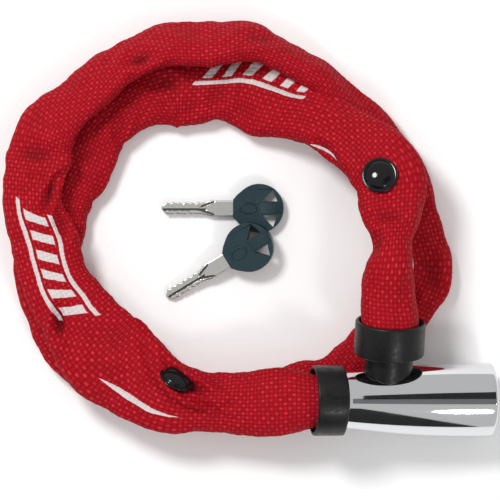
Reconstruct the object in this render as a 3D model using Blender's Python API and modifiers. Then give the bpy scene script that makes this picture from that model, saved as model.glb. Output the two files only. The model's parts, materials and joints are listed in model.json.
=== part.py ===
"""Chain lock: a long-link chain in a woven sleeve, wound in two turns, closed by a
chromed barrel with a locking pin, and its two keys. Metres, +Z up.

The origin is on the ground in the middle of the lock's footprint. The barrel's axis
runs along +X, with its key end at +X, and the loop lies behind it, towards +Y.
"""
import math

import bmesh
import bpy
from mathutils import Matrix, Vector

COLLECTION_NAME = "chain_lock"
CUTTER_COLLECTION_NAME = "cutters"
GAP = 0.0003                      # left between faces that touch
ROUND_STEPS = 40                  # sides of the large turned parts
SMALL_STEPS = 20                  # sides of pins and screws

# Barrel. Its own frame has +Z along the axis from the chain end to the key end,
# +X down and +Y towards the loop. The chain end lies on the lower turn of chain.
BARREL_END = Vector((0.0455, -0.0833, 0.0295))
BARREL_TILT = math.radians(9.3)
BARREL_LENGTH = 0.0730
BARREL_END_RADIUS = 0.0136
BARREL_RADIUS = 0.0182
BARREL_WIDEST = 0.0640            # distance of the widest place from the chain end
BARREL_BORE_RADIUS = 0.0112
RIM_ROUNDING = 0.0016
CORE_START = 0.0030
CORE_END = 0.0702
CORE_RADIUS = BARREL_BORE_RADIUS - GAP
TAIL_START = -0.0105
TAIL_RADIUS = 0.0100
LINK_SLOT_WIDTH = 0.0048
ANCHOR_DISTANCE = -0.0065
ANCHOR_RADIUS = 0.0018
ANCHOR_ROLL = math.radians(90)
COLLAR_RADIUS = 0.0170
COLLAR_BORE_RADIUS = 0.0152
COLLAR_START = -0.0168
COLLAR_FLOOR = -0.0105

# Locking pin. Its frame has +Z along the pin, out of the barrel, and +X along the
# barrel's axis.
PIN_STATION = 0.0210
PIN_LIFT = math.radians(15)       # the pin points up by this much
PIN_RADIUS = 0.0050
PIN_TIP = -0.0015
GROOVE_CENTRE = 0.0035
GROOVE_HALF = 0.0024
GROOVE_RADIUS = 0.0026
SEAT_TOP = 0.0176
SEAT_RADIUS = 0.0113
NECK_RADIUS = 0.0098
PIN_COLLAR_START = 0.0249
PIN_COLLAR_END = 0.0412
PIN_COLLAR_FLOOR = 0.0285
PIN_HEAD_RADIUS = 0.0080
PIN_HEAD_END = 0.0330
CROSS_PIN_DISTANCE = 0.0295
PIN_LINK_END = 0.0690             # where the last link meets the one before it

# Cylinder, latch and wafers, in the barrel's frame.
PLUG_RADIUS = 0.0060
PLUG_START = 0.0466
PLUG_END = 0.0722
PLUG_BORE_RADIUS = 0.00635
CAM_START = 0.0436
CAM_RADIUS = 0.0056
STUB_OFFSET = 0.0037
STUB_RADIUS = 0.0011
LATCH_HALF_WIDTH = 0.0035
LATCH_HALF_HEIGHT = 0.0020
LATCH_TAIL_HALF = 0.0014
LATCH_TAIL_OVERLAP = 0.0003
LATCH_TAIL_ROOT = 0.0005
LATCH_NOSE = PIN_STATION + PIN_RADIUS + GAP
LATCH_SHOULDER = 0.0370
LATCH_TAIL_END = 0.0430
KEYWAY_HEIGHT = 0.0088
KEYWAY_WIDTH = 0.0026
KEYWAY_DEPTH = 0.0230
WAFER_COUNT = 4
WAFER_FIRST = 0.0535
WAFER_PITCH = 0.0040
WAFER_SIZE = (0.0114, 0.0036, 0.0010)
WAFER_WINDOW = (0.0090, 0.0026)
WAFER_SLOT_PLAY = 0.0003

# Chain
WIRE_RADIUS = 0.0015
LINK_INNER_LENGTH = 0.0425
LINK_HALF_WIDTH = 0.0053          # of the wire's centre line
LINK_HOLD = 0.0020                # an end link's joint lies this far past its pin
CROWN_POINTS = 5
LINK_PITCH = 0.0400
LINK_ROLL = math.radians(45)
START_TWISTS = (45, 30, 15)       # degrees added to the roll of the first links
PIN_END_TWISTS = (15, 30, 45, 45)  # and to that of the last ones

# Sleeve
SLEEVE_WALL = 0.0007
SLEEVE_SIDES = 16
SLEEVE_RING_SHARES = (0.0, 0.22, 0.78)   # places of its rings along each link
CORNER_ROUNDING = 0.0060          # the sleeve rounds the corners between the links
BARREL_TURN = 0.0300              # over this length it turns into the barrel's axis
LEAN_SPREAD = 0.0400              # the chain turns over more slowly than the sleeve
SLEEVE_INSET = 0.0085             # from the end pins to the ends of the fabric
FOLD_HALF = 0.0140                # half the length of the fold's soft stretch, along X
PIN_END_LENGTH = 0.0730
CURVE_SAMPLES = 8                 # between two points of the route

# Snap rivets: distance along the route, angle around the sleeve from its side
SNAP_CAP_RADIUS = 0.0087
SNAP_DOME_RADIUS = 0.0069
SNAP_HEIGHT = 0.0036
SNAP_BASE_RADIUS = 0.0075
SNAP_BASE_HEIGHT = 0.0010
SNAP_GAP = 0.0012
SNAP_PLACES = ((0.9660, math.radians(84), math.radians(270)),
               (0.0790, math.radians(114), math.radians(285)))

# Keys. Each key's own frame has +X from the tip to the head, and +Z up.
KEY_BLADE_THICKNESS = 0.0022
KEY_BLADE_LENGTH = 0.0350
KEY_BLADE_HALF = 0.0040
KEY_CUT_DEPTH = 0.0011
KEY_CUTS = 5
KEY_TANG_LENGTH = 0.0080
KEY_TANG_HALF = 0.0030
KEY_HEAD_THICKNESS = 0.0055
KEY_HEAD_LENGTH = 0.0248
KEY_HEAD_HALF = 0.0120
KEY_ONE_TIP = Vector((-0.0433, 0.0100, KEY_HEAD_THICKNESS / 2))
KEY_ONE_TURN = 0.0
KEY_TWO_TIP = Vector((-0.0408, -0.0333, 0.0013))
KEY_TWO_TURN = math.radians(31)
KEY_TWO_LIFT = math.radians(9.0)

# The route of chain and sleeve between the barrel and the locking pin, chosen by hand:
# x, y, z, then the sleeve's width and height and its lean in degrees, which lifts the
# left edge. The first turn lies on the second as far as the right of the loop, where
# it leans over on its edge, lies down and lets the second turn pass over it.
ROUTE = (
    (0.0185, -0.0836, 0.0284, 0.0280, 0.0190, 0),
    (0.0045, -0.0843, 0.0245, 0.0320, 0.0172, 0),
    (-0.0170, -0.0843, 0.0236, 0.0300, 0.0150, 0),
    (-0.0410, -0.0790, 0.0240, 0.0355, 0.0144, 0),
    (-0.0670, -0.0625, 0.0222, 0.0400, 0.0144, 0),
    (-0.0870, -0.0386, 0.0213, 0.0380, 0.0138, 0),
    (-0.0988, -0.0110, 0.0213, 0.0360, 0.0138, 0),
    (-0.1041, 0.0180, 0.0213, 0.0350, 0.0138, -2),
    (-0.1000, 0.0425, 0.0208, 0.0335, 0.0142, -10),
    (-0.0860, 0.0625, 0.0198, 0.0315, 0.0146, -23),
    (-0.0645, 0.0795, 0.0188, 0.0302, 0.0146, -36),
    (-0.0400, 0.0895, 0.0180, 0.0300, 0.0146, -44),
    (-0.0130, 0.0912, 0.0176, 0.0295, 0.0152, -50),
    (0.0068, 0.0899, 0.0168, 0.0280, 0.0158, -60),
    (0.0205, 0.0832, 0.0158, 0.0270, 0.0162, -68),
    (0.0365, 0.0728, 0.0144, 0.0264, 0.0162, -70),
    (0.0508, 0.0626, 0.0120, 0.0256, 0.0162, -46),
    (0.0622, 0.0496, 0.0092, 0.0275, 0.0160, -16),
    (0.0700, 0.0310, 0.0076, 0.0320, 0.0148, 0),
    (0.0778, 0.0080, 0.0069, 0.0340, 0.0138, 0),
    (0.0820, -0.0150, 0.0069, 0.0330, 0.0138, 0),
    (0.0745, -0.0385, 0.0069, 0.0300, 0.0138, 0),
    (0.0590, -0.0600, 0.0069, 0.0270, 0.0137, 0),
    (0.0385, -0.0740, 0.0067, 0.0270, 0.0135, 0),
    (0.0150, -0.0810, 0.0069, 0.0295, 0.0138, 0),
    (-0.0150, -0.0822, 0.0069, 0.0290, 0.0138, 0),
    (-0.0440, -0.0748, 0.0069, 0.0305, 0.0138, 0),
    (-0.0690, -0.0560, 0.0069, 0.0320, 0.0138, 0),
    (-0.0875, -0.0309, 0.0069, 0.0320, 0.0138, 0),
    (-0.0950, -0.0040, 0.0069, 0.0320, 0.0138, 0),
    (-0.0865, 0.0207, 0.0069, 0.0320, 0.0138, 0),
    (-0.0750, 0.0455, 0.0069, 0.0320, 0.0138, 0),
    (-0.0540, 0.0632, 0.0069, 0.0320, 0.0138, 0),
    (-0.0270, 0.0665, 0.0069, 0.0310, 0.0138, 0),
    (0.0010, 0.0618, 0.0069, 0.0300, 0.0138, 0),
    (0.0180, 0.0557, 0.0088, 0.0250, 0.0150, 0),
    (0.0295, 0.0505, 0.0178, 0.0215, 0.0160, -12),
    (0.0405, 0.0439, 0.0270, 0.0212, 0.0158, -12),
    (0.0525, 0.0358, 0.0302, 0.0280, 0.0166, -6),
    (0.0632, 0.0235, 0.0325, 0.0350, 0.0176, 0),
    (0.0684, 0.0095, 0.0366, 0.0310, 0.0190, 0),
    (0.0690, -0.0030, 0.0400, 0.0250, 0.0220, 0),
)
# The ends of the route lie on the axes of the barrel and the pin: the distance along
# the axis, then the sleeve's width and height.
BARREL_STATIONS = ((ANCHOR_DISTANCE + LINK_HOLD, 0.0240, 0.0190), (-0.0168, 0.0245, 0.0190))
PIN_STATIONS = ((PIN_LINK_END, 0.0246, 0.0250), (0.0560, 0.0262, 0.0252),
                (PIN_COLLAR_END, 0.0290, 0.0288),
                (CROSS_PIN_DISTANCE - LINK_HOLD, 0.0290, 0.0290))


# ---------------------------------------------------------------- frames

def frame_matrix(origin, x_axis, z_axis):
    """The matrix of a frame with the given origin and axes."""
    z = z_axis.normalized()
    x = (x_axis - z * x_axis.dot(z)).normalized()
    y = z.cross(x)
    rotation = Matrix((x, y, z)).transposed().to_4x4()
    return Matrix.Translation(origin) @ rotation


BARREL_AXIS = Vector((math.cos(BARREL_TILT), 0.0, -math.sin(BARREL_TILT)))
BARREL_DOWN = Vector((-math.sin(BARREL_TILT), 0.0, -math.cos(BARREL_TILT)))
BARREL_FRAME = frame_matrix(BARREL_END, BARREL_DOWN, BARREL_AXIS)
PIN_AXIS = Vector((0.0, math.cos(PIN_LIFT), 0.0)) - BARREL_DOWN * math.sin(PIN_LIFT)
PIN_CENTRE = BARREL_END + BARREL_AXIS * PIN_STATION
PIN_FRAME = frame_matrix(PIN_CENTRE, BARREL_AXIS, PIN_AXIS)
# The barrel's frame turned about its axis, so that +X lies along the anchor pin.
ANCHOR_FRAME = BARREL_FRAME @ Matrix.Rotation(ANCHOR_ROLL, 4, "Z")


# ---------------------------------------------------------------- scene and objects

def clear_scene():
    for old in list(bpy.data.objects):
        bpy.data.objects.remove(old, do_unlink=True)


def new_collection(name):
    collection = bpy.data.collections.new(name)
    bpy.context.scene.collection.children.link(collection)
    return collection


def new_material(name, colour, roughness, metallic=0.0):
    material = bpy.data.materials.new(name)
    material.use_nodes = True
    shader = material.node_tree.nodes["Principled BSDF"]
    shader.inputs["Base Color"].default_value = (*colour, 1.0)
    shader.inputs["Roughness"].default_value = roughness
    shader.inputs["Metallic"].default_value = metallic
    return material


class Workshop:
    """The collections, the materials and the frames that the pieces are made in."""

    def __init__(self):
        self.parts = new_collection(COLLECTION_NAME)
        self.cutters = new_collection(CUTTER_COLLECTION_NAME)
        self.materials = {
            "chrome": new_material("chrome", (0.75, 0.76, 0.78), 0.08, 1.0),
            "zinc": new_material("zinc", (0.55, 0.56, 0.57), 0.40, 1.0),
            "brass": new_material("brass", (0.72, 0.55, 0.25), 0.30, 1.0),
            "steel": new_material("steel", (0.50, 0.50, 0.52), 0.35, 1.0),
            "black_plastic": new_material("black_plastic", (0.012, 0.012, 0.013), 0.35),
            "gloss_black": new_material("gloss_black", (0.008, 0.008, 0.009), 0.08),
            "red_fabric": new_material("red_fabric", (0.45, 0.005, 0.015), 0.85),
            "nickel": new_material("nickel", (0.62, 0.62, 0.60), 0.25, 1.0),
            "key_plastic": new_material("key_plastic", (0.012, 0.035, 0.045), 0.40),
        }
        self.barrel = self.frame("barrel_frame", BARREL_FRAME)
        self.pin = self.frame("pin_frame", PIN_FRAME)
        self.anchor = self.frame("anchor_frame", ANCHOR_FRAME)

    def frame(self, name, matrix):
        empty = bpy.data.objects.new(name, None)
        empty.matrix_world = matrix
        empty.hide_render = True
        self.parts.objects.link(empty)
        return empty

    def part(self, name, data, material, parent=None):
        piece = bpy.data.objects.new(name, data)
        data.materials.append(self.materials[material])
        self.parts.objects.link(piece)
        piece.parent = parent
        return piece

    def cutter(self, name, data, parent=None):
        tool = bpy.data.objects.new(name, data)
        self.cutters.objects.link(tool)
        tool.parent = parent
        tool.hide_render = True
        tool.display_type = "WIRE"
        return tool

    def cut(self, piece, *tools):
        for tool in tools:
            modifier = piece.modifiers.new("cut_" + tool.name, "BOOLEAN")
            modifier.operation = "DIFFERENCE"
            modifier.object = tool


# ---------------------------------------------------------------- shapes

def smooth_round(mesh):
    mesh.shade_smooth()
    mesh.set_sharp_from_angle(angle=math.radians(35))


def turned_mesh(name, profile, closed):
    """The outline of a turned shape: (radius, height) points down its outer side."""
    mesh = bpy.data.meshes.new(name)
    points = [(radius, 0.0, height) for radius, height in profile]
    edges = [(index, index + 1) for index in range(len(points) - 1)]
    if closed:
        edges.append((len(points) - 1, 0))
    mesh.from_pydata(points, edges, [])
    return mesh


def spin(piece, steps):
    screw = piece.modifiers.new("turn", "SCREW")
    screw.axis = "Z"
    screw.steps = steps
    screw.render_steps = steps
    screw.use_merge_vertices = True
    screw.merge_threshold = 0.00001
    screw.use_smooth_shade = True


def turned_part(shop, name, profile, material, parent, steps=ROUND_STEPS, closed=False):
    piece = shop.part(name, turned_mesh(name, profile, closed), material, parent)
    spin(piece, steps)
    return piece


def cylinder_mesh(name, radius, low, high, steps=SMALL_STEPS):
    """A closed cylinder about Z, from height low to high."""
    mesh = bpy.data.meshes.new(name)
    form = bmesh.new()
    middle = Matrix.Translation((0.0, 0.0, (low + high) / 2))
    bmesh.ops.create_cone(form, cap_ends=True, segments=steps, radius1=radius,
                          radius2=radius, depth=high - low, matrix=middle)
    form.to_mesh(mesh)
    form.free()
    smooth_round(mesh)
    return mesh


def box_mesh(name, low, high):
    """A closed box between two corners."""
    mesh = bpy.data.meshes.new(name)
    form = bmesh.new()
    size = [top - bottom for bottom, top in zip(low, high)]
    middle = [(top + bottom) / 2 for bottom, top in zip(low, high)]
    place = Matrix.Translation(middle) @ Matrix.Diagonal((*size, 1.0))
    bmesh.ops.create_cube(form, size=1.0, matrix=place)
    form.to_mesh(mesh)
    form.free()
    return mesh


def outline_curve(name, outlines, thickness):
    """A flat plate: the first outline is its edge and the others are holes in it."""
    curve = bpy.data.curves.new(name, "CURVE")
    curve.dimensions = "2D"
    curve.fill_mode = "BOTH"
    curve.extrude = thickness / 2
    for outline in outlines:
        spline = curve.splines.new("POLY")
        spline.points.add(len(outline) - 1)
        spline.use_cyclic_u = True
        for point, (x, y) in zip(spline.points, outline):
            point.co = (x, y, 0.0, 1.0)
    return curve


def mesh_from_curve(name, curve):
    """The curve's solid as a mesh, with its caps joined to its sides."""
    guide = bpy.data.objects.new(name + "_guide", curve)
    bpy.context.scene.collection.objects.link(guide)
    graph = bpy.context.evaluated_depsgraph_get()
    mesh = bpy.data.meshes.new_from_object(guide.evaluated_get(graph))
    bpy.data.objects.remove(guide, do_unlink=True)
    form = bmesh.new()
    form.from_mesh(mesh)
    bmesh.ops.remove_doubles(form, verts=form.verts, dist=0.000001)
    form.to_mesh(mesh)
    form.free()
    mesh.name = name
    return mesh


def arc(centre, radius, start, end, count):
    """Points of an arc, from one angle in degrees to another."""
    points = []
    for index in range(count):
        angle = math.radians(start + (end - start) * index / (count - 1))
        points.append((centre[0] + radius * math.cos(angle),
                       centre[1] + radius * math.sin(angle)))
    return points


# ---------------------------------------------------------------- barrel

def barrel_radius(distance):
    """The barrel swells on one long arc from its chain end to its widest place."""
    swell = BARREL_RADIUS - BARREL_END_RADIUS
    arc_radius = (BARREL_WIDEST ** 2 + swell ** 2) / (2 * swell)
    reach = BARREL_WIDEST - distance
    return BARREL_RADIUS - arc_radius + math.sqrt(arc_radius ** 2 - reach ** 2)


def barrel_outline(offset=0.0):
    """The outer side from the key end's rounded rim to the chain end."""
    rim_radius = barrel_radius(BARREL_LENGTH) - RIM_ROUNDING + offset
    rim_height = BARREL_LENGTH - RIM_ROUNDING
    outline = arc((rim_radius, rim_height), RIM_ROUNDING, 90, 0, 5)
    steps = 9
    for index in range(1, steps):
        distance = rim_height * (1 - index / steps)
        outline.append((barrel_radius(distance) + offset, distance))
    outline.append((BARREL_END_RADIUS + offset, 0.0004))
    outline.append((BARREL_END_RADIUS - 0.0004 + offset, 0.0))
    return outline


def make_barrel_shell(shop):
    profile = barrel_outline()
    profile += [(BARREL_BORE_RADIUS, 0.0), (BARREL_BORE_RADIUS, BARREL_LENGTH)]
    shell = turned_part(shop, "barrel_shell", profile, "chrome", shop.barrel, 48, True)
    hole = cylinder_mesh("pin_hole", PIN_RADIUS + 0.0010, 0.0060, 0.0300, 24)
    shop.cut(shell, shop.cutter("pin_hole", hole, shop.pin))


def make_lock_core(shop):
    profile = ((0.0, CORE_END), (CORE_RADIUS, CORE_END), (CORE_RADIUS, CORE_START),
               (TAIL_RADIUS, CORE_START - 0.0002), (TAIL_RADIUS, TAIL_START),
               (0.0, TAIL_START))
    core = turned_part(shop, "lock_core", profile, "zinc", shop.barrel)
    play = 0.0003
    half_width = LATCH_HALF_WIDTH + play
    groove_low = GROOVE_CENTRE - LATCH_HALF_HEIGHT - play
    groove_high = GROOVE_CENTRE + LATCH_HALF_HEIGHT + play
    tools = (
        shop.cutter("pin_bore", cylinder_mesh(
            "pin_bore", PIN_RADIUS + play, PIN_TIP - 0.0008, 0.0150, 24), shop.pin),
        shop.cutter("latch_channel", box_mesh(
            "latch_channel", (0.0005, -half_width, groove_low),
            (LATCH_SHOULDER - PIN_STATION + 0.0008, half_width, groove_high)), shop.pin),
        shop.cutter("plug_bore", cylinder_mesh(
            "plug_bore", PLUG_BORE_RADIUS, LATCH_SHOULDER - 0.0036, CORE_END + 0.001, 32),
            shop.barrel),
        shop.cutter("wafer_groove_down", box_mesh(
            "wafer_groove_down", (0.0, -0.0022, PLUG_START + 0.004),
            (0.0076, 0.0022, CORE_END + 0.001)), shop.barrel),
        shop.cutter("wafer_groove_side", box_mesh(
            "wafer_groove_side", (-0.0022, -0.0076, PLUG_START + 0.004),
            (0.0022, 0.0, CORE_END + 0.001)), shop.barrel),
        anchor_slot_cutter(shop),
        anchor_hole_cutter(shop),
    )
    shop.cut(core, *tools)


def anchor_slot_cutter(shop):
    half = LINK_SLOT_WIDTH / 2
    slot = box_mesh("anchor_slot", (-half, -0.012, TAIL_START - 0.001), (half, 0.012, 0.0012))
    return shop.cutter("anchor_slot", slot, shop.anchor)


def anchor_hole_cutter(shop):
    hole = shop.cutter("anchor_hole", cylinder_mesh(
        "anchor_hole", ANCHOR_RADIUS + 0.0003, -0.012, 0.012), shop.anchor)
    place_across(hole, ANCHOR_DISTANCE)
    return hole


def place_across(piece, distance):
    """Lay a piece made about Z along the frame's +X, at a distance along its axis."""
    piece.rotation_euler = (0.0, math.radians(90), 0.0)
    piece.location = (0.0, 0.0, distance)


def make_anchor_pin(shop):
    mesh = cylinder_mesh("anchor_pin", ANCHOR_RADIUS, -0.0092, 0.0092)
    place_across(shop.part("anchor_pin", mesh, "steel", shop.anchor), ANCHOR_DISTANCE)


def make_barrel_collar(shop):
    edge = 0.0012
    base = -0.0004
    profile = [(TAIL_RADIUS + 0.0004, base), (COLLAR_RADIUS - edge, base),
               (COLLAR_RADIUS, base - edge), (COLLAR_RADIUS, COLLAR_START + edge)]
    profile += arc((COLLAR_RADIUS - edge / 2, COLLAR_START + edge / 2), edge / 2, 0, -90, 3)
    profile += [(COLLAR_BORE_RADIUS, COLLAR_START), (COLLAR_BORE_RADIUS, COLLAR_FLOOR),
                (TAIL_RADIUS + 0.0004, COLLAR_FLOOR)]
    turned_part(shop, "barrel_collar", profile, "black_plastic", shop.barrel, 48, True)


def make_end_bezel(shop):
    low = CORE_END + GAP
    high = BARREL_LENGTH - 0.0006
    hole = PLUG_BORE_RADIUS + 0.0002
    outer = BARREL_BORE_RADIUS - GAP
    profile = ((hole, high), (outer - 0.0008, high), (outer, high - 0.0008), (outer, low),
               (hole, low))
    turned_part(shop, "end_bezel", profile, "black_plastic", shop.barrel, ROUND_STEPS, True)


def wafer_distances():
    return [WAFER_FIRST + WAFER_PITCH * index for index in range(WAFER_COUNT)]


def make_cylinder_plug(shop):
    profile = ((0.0, PLUG_END), (PLUG_RADIUS - 0.0004, PLUG_END),
               (PLUG_RADIUS, PLUG_END - 0.0004), (PLUG_RADIUS, PLUG_START),
               (0.0, PLUG_START))
    plug = turned_part(shop, "cylinder_plug", profile, "brass", shop.barrel, 32)
    half = KEYWAY_HEIGHT / 2
    side = KEYWAY_WIDTH / 2
    keyway = box_mesh("keyway", (-half, -side, PLUG_END - KEYWAY_DEPTH),
                      (half, side, PLUG_END + 0.001))
    shop.cut(plug, shop.cutter("keyway", keyway, shop.barrel))
    _, width, thickness = WAFER_SIZE
    reach = PLUG_RADIUS + 0.001
    across = width / 2 + WAFER_SLOT_PLAY
    along = thickness / 2 + WAFER_SLOT_PLAY
    for index, distance in enumerate(wafer_distances(), 1):
        slot = box_mesh("wafer_slot", (-reach, -across, distance - along),
                        (reach, across, distance + along))
        shop.cut(plug, shop.cutter(f"wafer_slot_{index}", slot, shop.barrel))


def make_wafers(shop):
    length, width, thickness = WAFER_SIZE
    window_length, window_width = WAFER_WINDOW
    edge = rectangle(length, width)
    window = rectangle(window_length, window_width)
    curve = outline_curve("wafer", (edge, window), thickness)
    for index, distance in enumerate(wafer_distances(), 1):
        mesh = mesh_from_curve(f"wafer_{index}", curve)
        wafer = shop.part(f"wafer_{index}", mesh, "brass", shop.barrel)
        wafer.location = (0.0, 0.0, distance)


def rectangle(length, width):
    half_length = length / 2
    half_width = width / 2
    return ((-half_length, -half_width), (half_length, -half_width),
            (half_length, half_width), (-half_length, half_width))


def make_drive_cam(shop):
    """A disc behind the plug with a stub that reaches past the latch's tail."""
    profile = ((0.0, PLUG_START - GAP), (CAM_RADIUS, PLUG_START - GAP),
               (CAM_RADIUS, CAM_START), (0.0, CAM_START))
    cam = turned_part(shop, "drive_cam", profile, "steel", shop.barrel, 24)
    stub = shop.cutter("cam_stub", cylinder_mesh(
        "cam_stub", STUB_RADIUS, CAM_START - 0.0040, CAM_START + 0.0010, 12), shop.barrel)
    stub.location = (-STUB_OFFSET, 0.0, 0.0)
    join = cam.modifiers.new("stub", "BOOLEAN")
    join.operation = "UNION"
    join.object = stub


def make_latch(shop):
    """A bar that slides along the barrel into the pin's groove, with a slim tail."""
    low = GROOVE_CENTRE - LATCH_HALF_HEIGHT
    high = GROOVE_CENTRE + LATCH_HALF_HEIGHT
    bar = box_mesh("latch", (LATCH_NOSE - PIN_STATION, -LATCH_HALF_WIDTH, low),
                   (LATCH_SHOULDER - PIN_STATION, LATCH_HALF_WIDTH, high))
    latch = shop.part("latch", bar, "steel", shop.pin)
    root = LATCH_SHOULDER - PIN_STATION - LATCH_TAIL_ROOT
    tail = box_mesh("latch_tail", (root, -LATCH_TAIL_HALF, -LATCH_TAIL_HALF),
                    (LATCH_TAIL_END - PIN_STATION, LATCH_TAIL_HALF, low + LATCH_TAIL_OVERLAP))
    join = latch.modifiers.new("tail", "BOOLEAN")
    join.operation = "UNION"
    join.object = shop.cutter("latch_tail", tail, shop.pin)


# ---------------------------------------------------------------- locking pin

def make_locking_pin(shop):
    low = GROOVE_CENTRE - GROOVE_HALF
    high = GROOVE_CENTRE + GROOVE_HALF
    waist = PIN_COLLAR_START - 0.0003
    profile = ((0.0, PIN_HEAD_END), (PIN_HEAD_RADIUS, PIN_HEAD_END),
               (PIN_HEAD_RADIUS, waist), (PIN_RADIUS + 0.001, waist - 0.001),
               (PIN_RADIUS + 0.001, SEAT_TOP + 0.0014), (PIN_RADIUS, SEAT_TOP),
               (PIN_RADIUS, high), (GROOVE_RADIUS, high), (GROOVE_RADIUS, low),
               (PIN_RADIUS, low), (PIN_RADIUS - 0.0008, PIN_TIP), (0.0, PIN_TIP))
    pin = turned_part(shop, "locking_pin", profile, "chrome", shop.pin, 32)
    half = LINK_SLOT_WIDTH / 2
    slot = box_mesh("head_slot", (-half, -0.010, waist - 0.0012), (half, 0.010, 0.040))
    hole = shop.cutter("head_hole", cylinder_mesh(
        "head_hole", ANCHOR_RADIUS + 0.0003, -0.010, 0.010), shop.pin)
    place_across(hole, CROSS_PIN_DISTANCE)
    shop.cut(pin, shop.cutter("head_slot", slot, shop.pin), hole)


def make_pin_collar(shop):
    edge = 0.0012
    hole = PIN_HEAD_RADIUS + 0.0004
    neck_hole = PIN_RADIUS + 0.0016
    start = PIN_COLLAR_START
    profile = [(COLLAR_BORE_RADIUS, PIN_COLLAR_END)]
    profile += arc((COLLAR_RADIUS - edge / 2, PIN_COLLAR_END - edge / 2), edge / 2, 90, 0, 3)
    profile += [(COLLAR_RADIUS, start + edge), (COLLAR_RADIUS - edge, start),
                (NECK_RADIUS, start), (NECK_RADIUS, SEAT_TOP + GAP),
                (neck_hole, SEAT_TOP + GAP), (neck_hole, start - 0.0021),
                (hole, start - 0.0007), (hole, PIN_COLLAR_FLOOR),
                (COLLAR_BORE_RADIUS, PIN_COLLAR_FLOOR)]
    turned_part(shop, "pin_collar", profile, "black_plastic", shop.pin, 48, True)


def make_cross_pin(shop):
    mesh = cylinder_mesh("pin_cross_pin", ANCHOR_RADIUS, -0.0076, 0.0076)
    place_across(shop.part("pin_cross_pin", mesh, "steel", shop.pin), CROSS_PIN_DISTANCE)


def make_pin_seat(shop):
    """The ring that stands on the barrel around the pin hole."""
    profile = ((PIN_RADIUS + 0.0008, SEAT_TOP), (SEAT_RADIUS - 0.0008, SEAT_TOP),
               (SEAT_RADIUS, SEAT_TOP - 0.0008), (SEAT_RADIUS, 0.0080),
               (PIN_RADIUS + 0.0008, 0.0080))
    seat = turned_part(shop, "pin_seat_ring", profile, "chrome", shop.pin, 36, True)
    outline = barrel_outline(GAP)
    solid = [(0.0, BARREL_LENGTH)] + outline + [(0.0, 0.0)]
    saddle = shop.cutter("barrel_saddle", turned_mesh("barrel_saddle", solid, False),
                         shop.barrel)
    spin(saddle, 48)
    shop.cut(seat, saddle)


# ---------------------------------------------------------------- route

def route_stations():
    """Every station of the route: centre, width, height and lean in radians."""
    stations = []
    for distance, width, height in BARREL_STATIONS:
        stations.append((BARREL_END + BARREL_AXIS * distance, width, height, 0.0))
    for x, y, z, width, height, lean in ROUTE:
        stations.append((Vector((x, y, z)), width, height, math.radians(lean)))
    for distance, width, height in PIN_STATIONS:
        stations.append((PIN_CENTRE + PIN_AXIS * distance, width, height, 0.0))
    return stations


def spline_value(before, start, end, after, share):
    """A Catmull-Rom curve through start and end."""
    square = share * share
    cube = square * share
    return 0.5 * (start * 2 + (end - before) * share
                  + (before * 2 - start * 5 + end * 4 - after) * square
                  + (start * 3 - before - end * 3 + after) * cube)


class Route:
    """The chain's centre line as a smooth curve, measured along its length."""

    def __init__(self):
        stations = route_stations()
        last = len(stations) - 1
        self.samples = []
        for index in range(last):
            four = [stations[min(max(index + shift, 0), last)] for shift in (-1, 0, 1, 2)]
            for step in range(CURVE_SAMPLES):
                share = step / CURVE_SAMPLES
                values = [spline_value(*column, share) for column in zip(*four)]
                self.samples.append(values)
        self.samples.append(list(stations[last]))
        self.distances = [0.0]
        for before, after in zip(self.samples, self.samples[1:]):
            self.distances.append(self.distances[-1] + (after[0] - before[0]).length)
        self.length = self.distances[-1]

    def values(self, distance):
        """Centre, width, height and lean at a distance along the route."""
        distance = min(max(distance, 0.0), self.length)
        index = 0
        while self.distances[index + 1] < distance and index < len(self.distances) - 2:
            index += 1
        start = self.distances[index]
        share = (distance - start) / (self.distances[index + 1] - start)
        before = self.samples[index]
        after = self.samples[index + 1]
        return [low + (high - low) * share for low, high in zip(before, after)]

    def centre(self, distance):
        return self.values(distance)[0]

    def set_joints(self, joints):
        self.joints = joints

    def chain_point(self, distance):
        """A point on the straight lines between the chain's joints."""
        distance = min(max(distance, 0.0), self.length)
        for start, end in zip(self.joints, self.joints[1:]):
            if distance <= end:
                share = (distance - start) / (end - start)
                return self.centre(start).lerp(self.centre(end), share)
        return self.centre(self.length)

    def sleeve_centre(self, distance):
        """The same line with its corners rounded, as the fabric takes them."""
        shifts = (-1.0, -0.5, 0.0, 0.5, 1.0)
        points = [self.chain_point(distance + CORNER_ROUNDING * shift) for shift in shifts]
        return sum(points, Vector()) / len(points)

    def axes(self, distance):
        """Along, across and over the sleeve at a distance along the route."""
        reach = 0.003
        ahead = self.sleeve_centre(min(distance + reach, self.length))
        along = (ahead - self.sleeve_centre(max(distance - reach, 0.0))).normalized()
        turn = max(0.0, 1.0 - distance / BARREL_TURN)
        along = along.lerp(-BARREL_AXIS, turn).normalized()
        lean = self.values(distance)[3]
        level = Vector((0.0, 0.0, 1.0)).cross(along).normalized()
        upright = along.cross(level)
        across = level * math.cos(lean) + upright * math.sin(lean)
        return along, across, along.cross(across)

    def chain_axes(self, start, end):
        """Across and over a stiff link, which takes up the mean lean around it."""
        middle = (start + end) / 2
        shifts = (-1.0, -0.5, 0.0, 0.5, 1.0)
        leans = [self.values(middle + LEAN_SPREAD * shift)[3] for shift in shifts]
        turn = sum(leans) / len(leans) - self.values(middle)[3]
        _, across, over = self.axes(middle)
        return (across * math.cos(turn) + over * math.sin(turn),
                over * math.cos(turn) - across * math.sin(turn))

    def crossings(self, x):
        """The distances at which the route passes over a line of constant x."""
        found = []
        for index in range(len(self.samples) - 1):
            before = self.samples[index][0].x - x
            after = self.samples[index + 1][0].x - x
            if before * after < 0 or before == 0:
                step = self.distances[index + 1] - self.distances[index]
                found.append(self.distances[index] + step * before / (before - after))
        return found


# ---------------------------------------------------------------- sleeve

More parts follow.
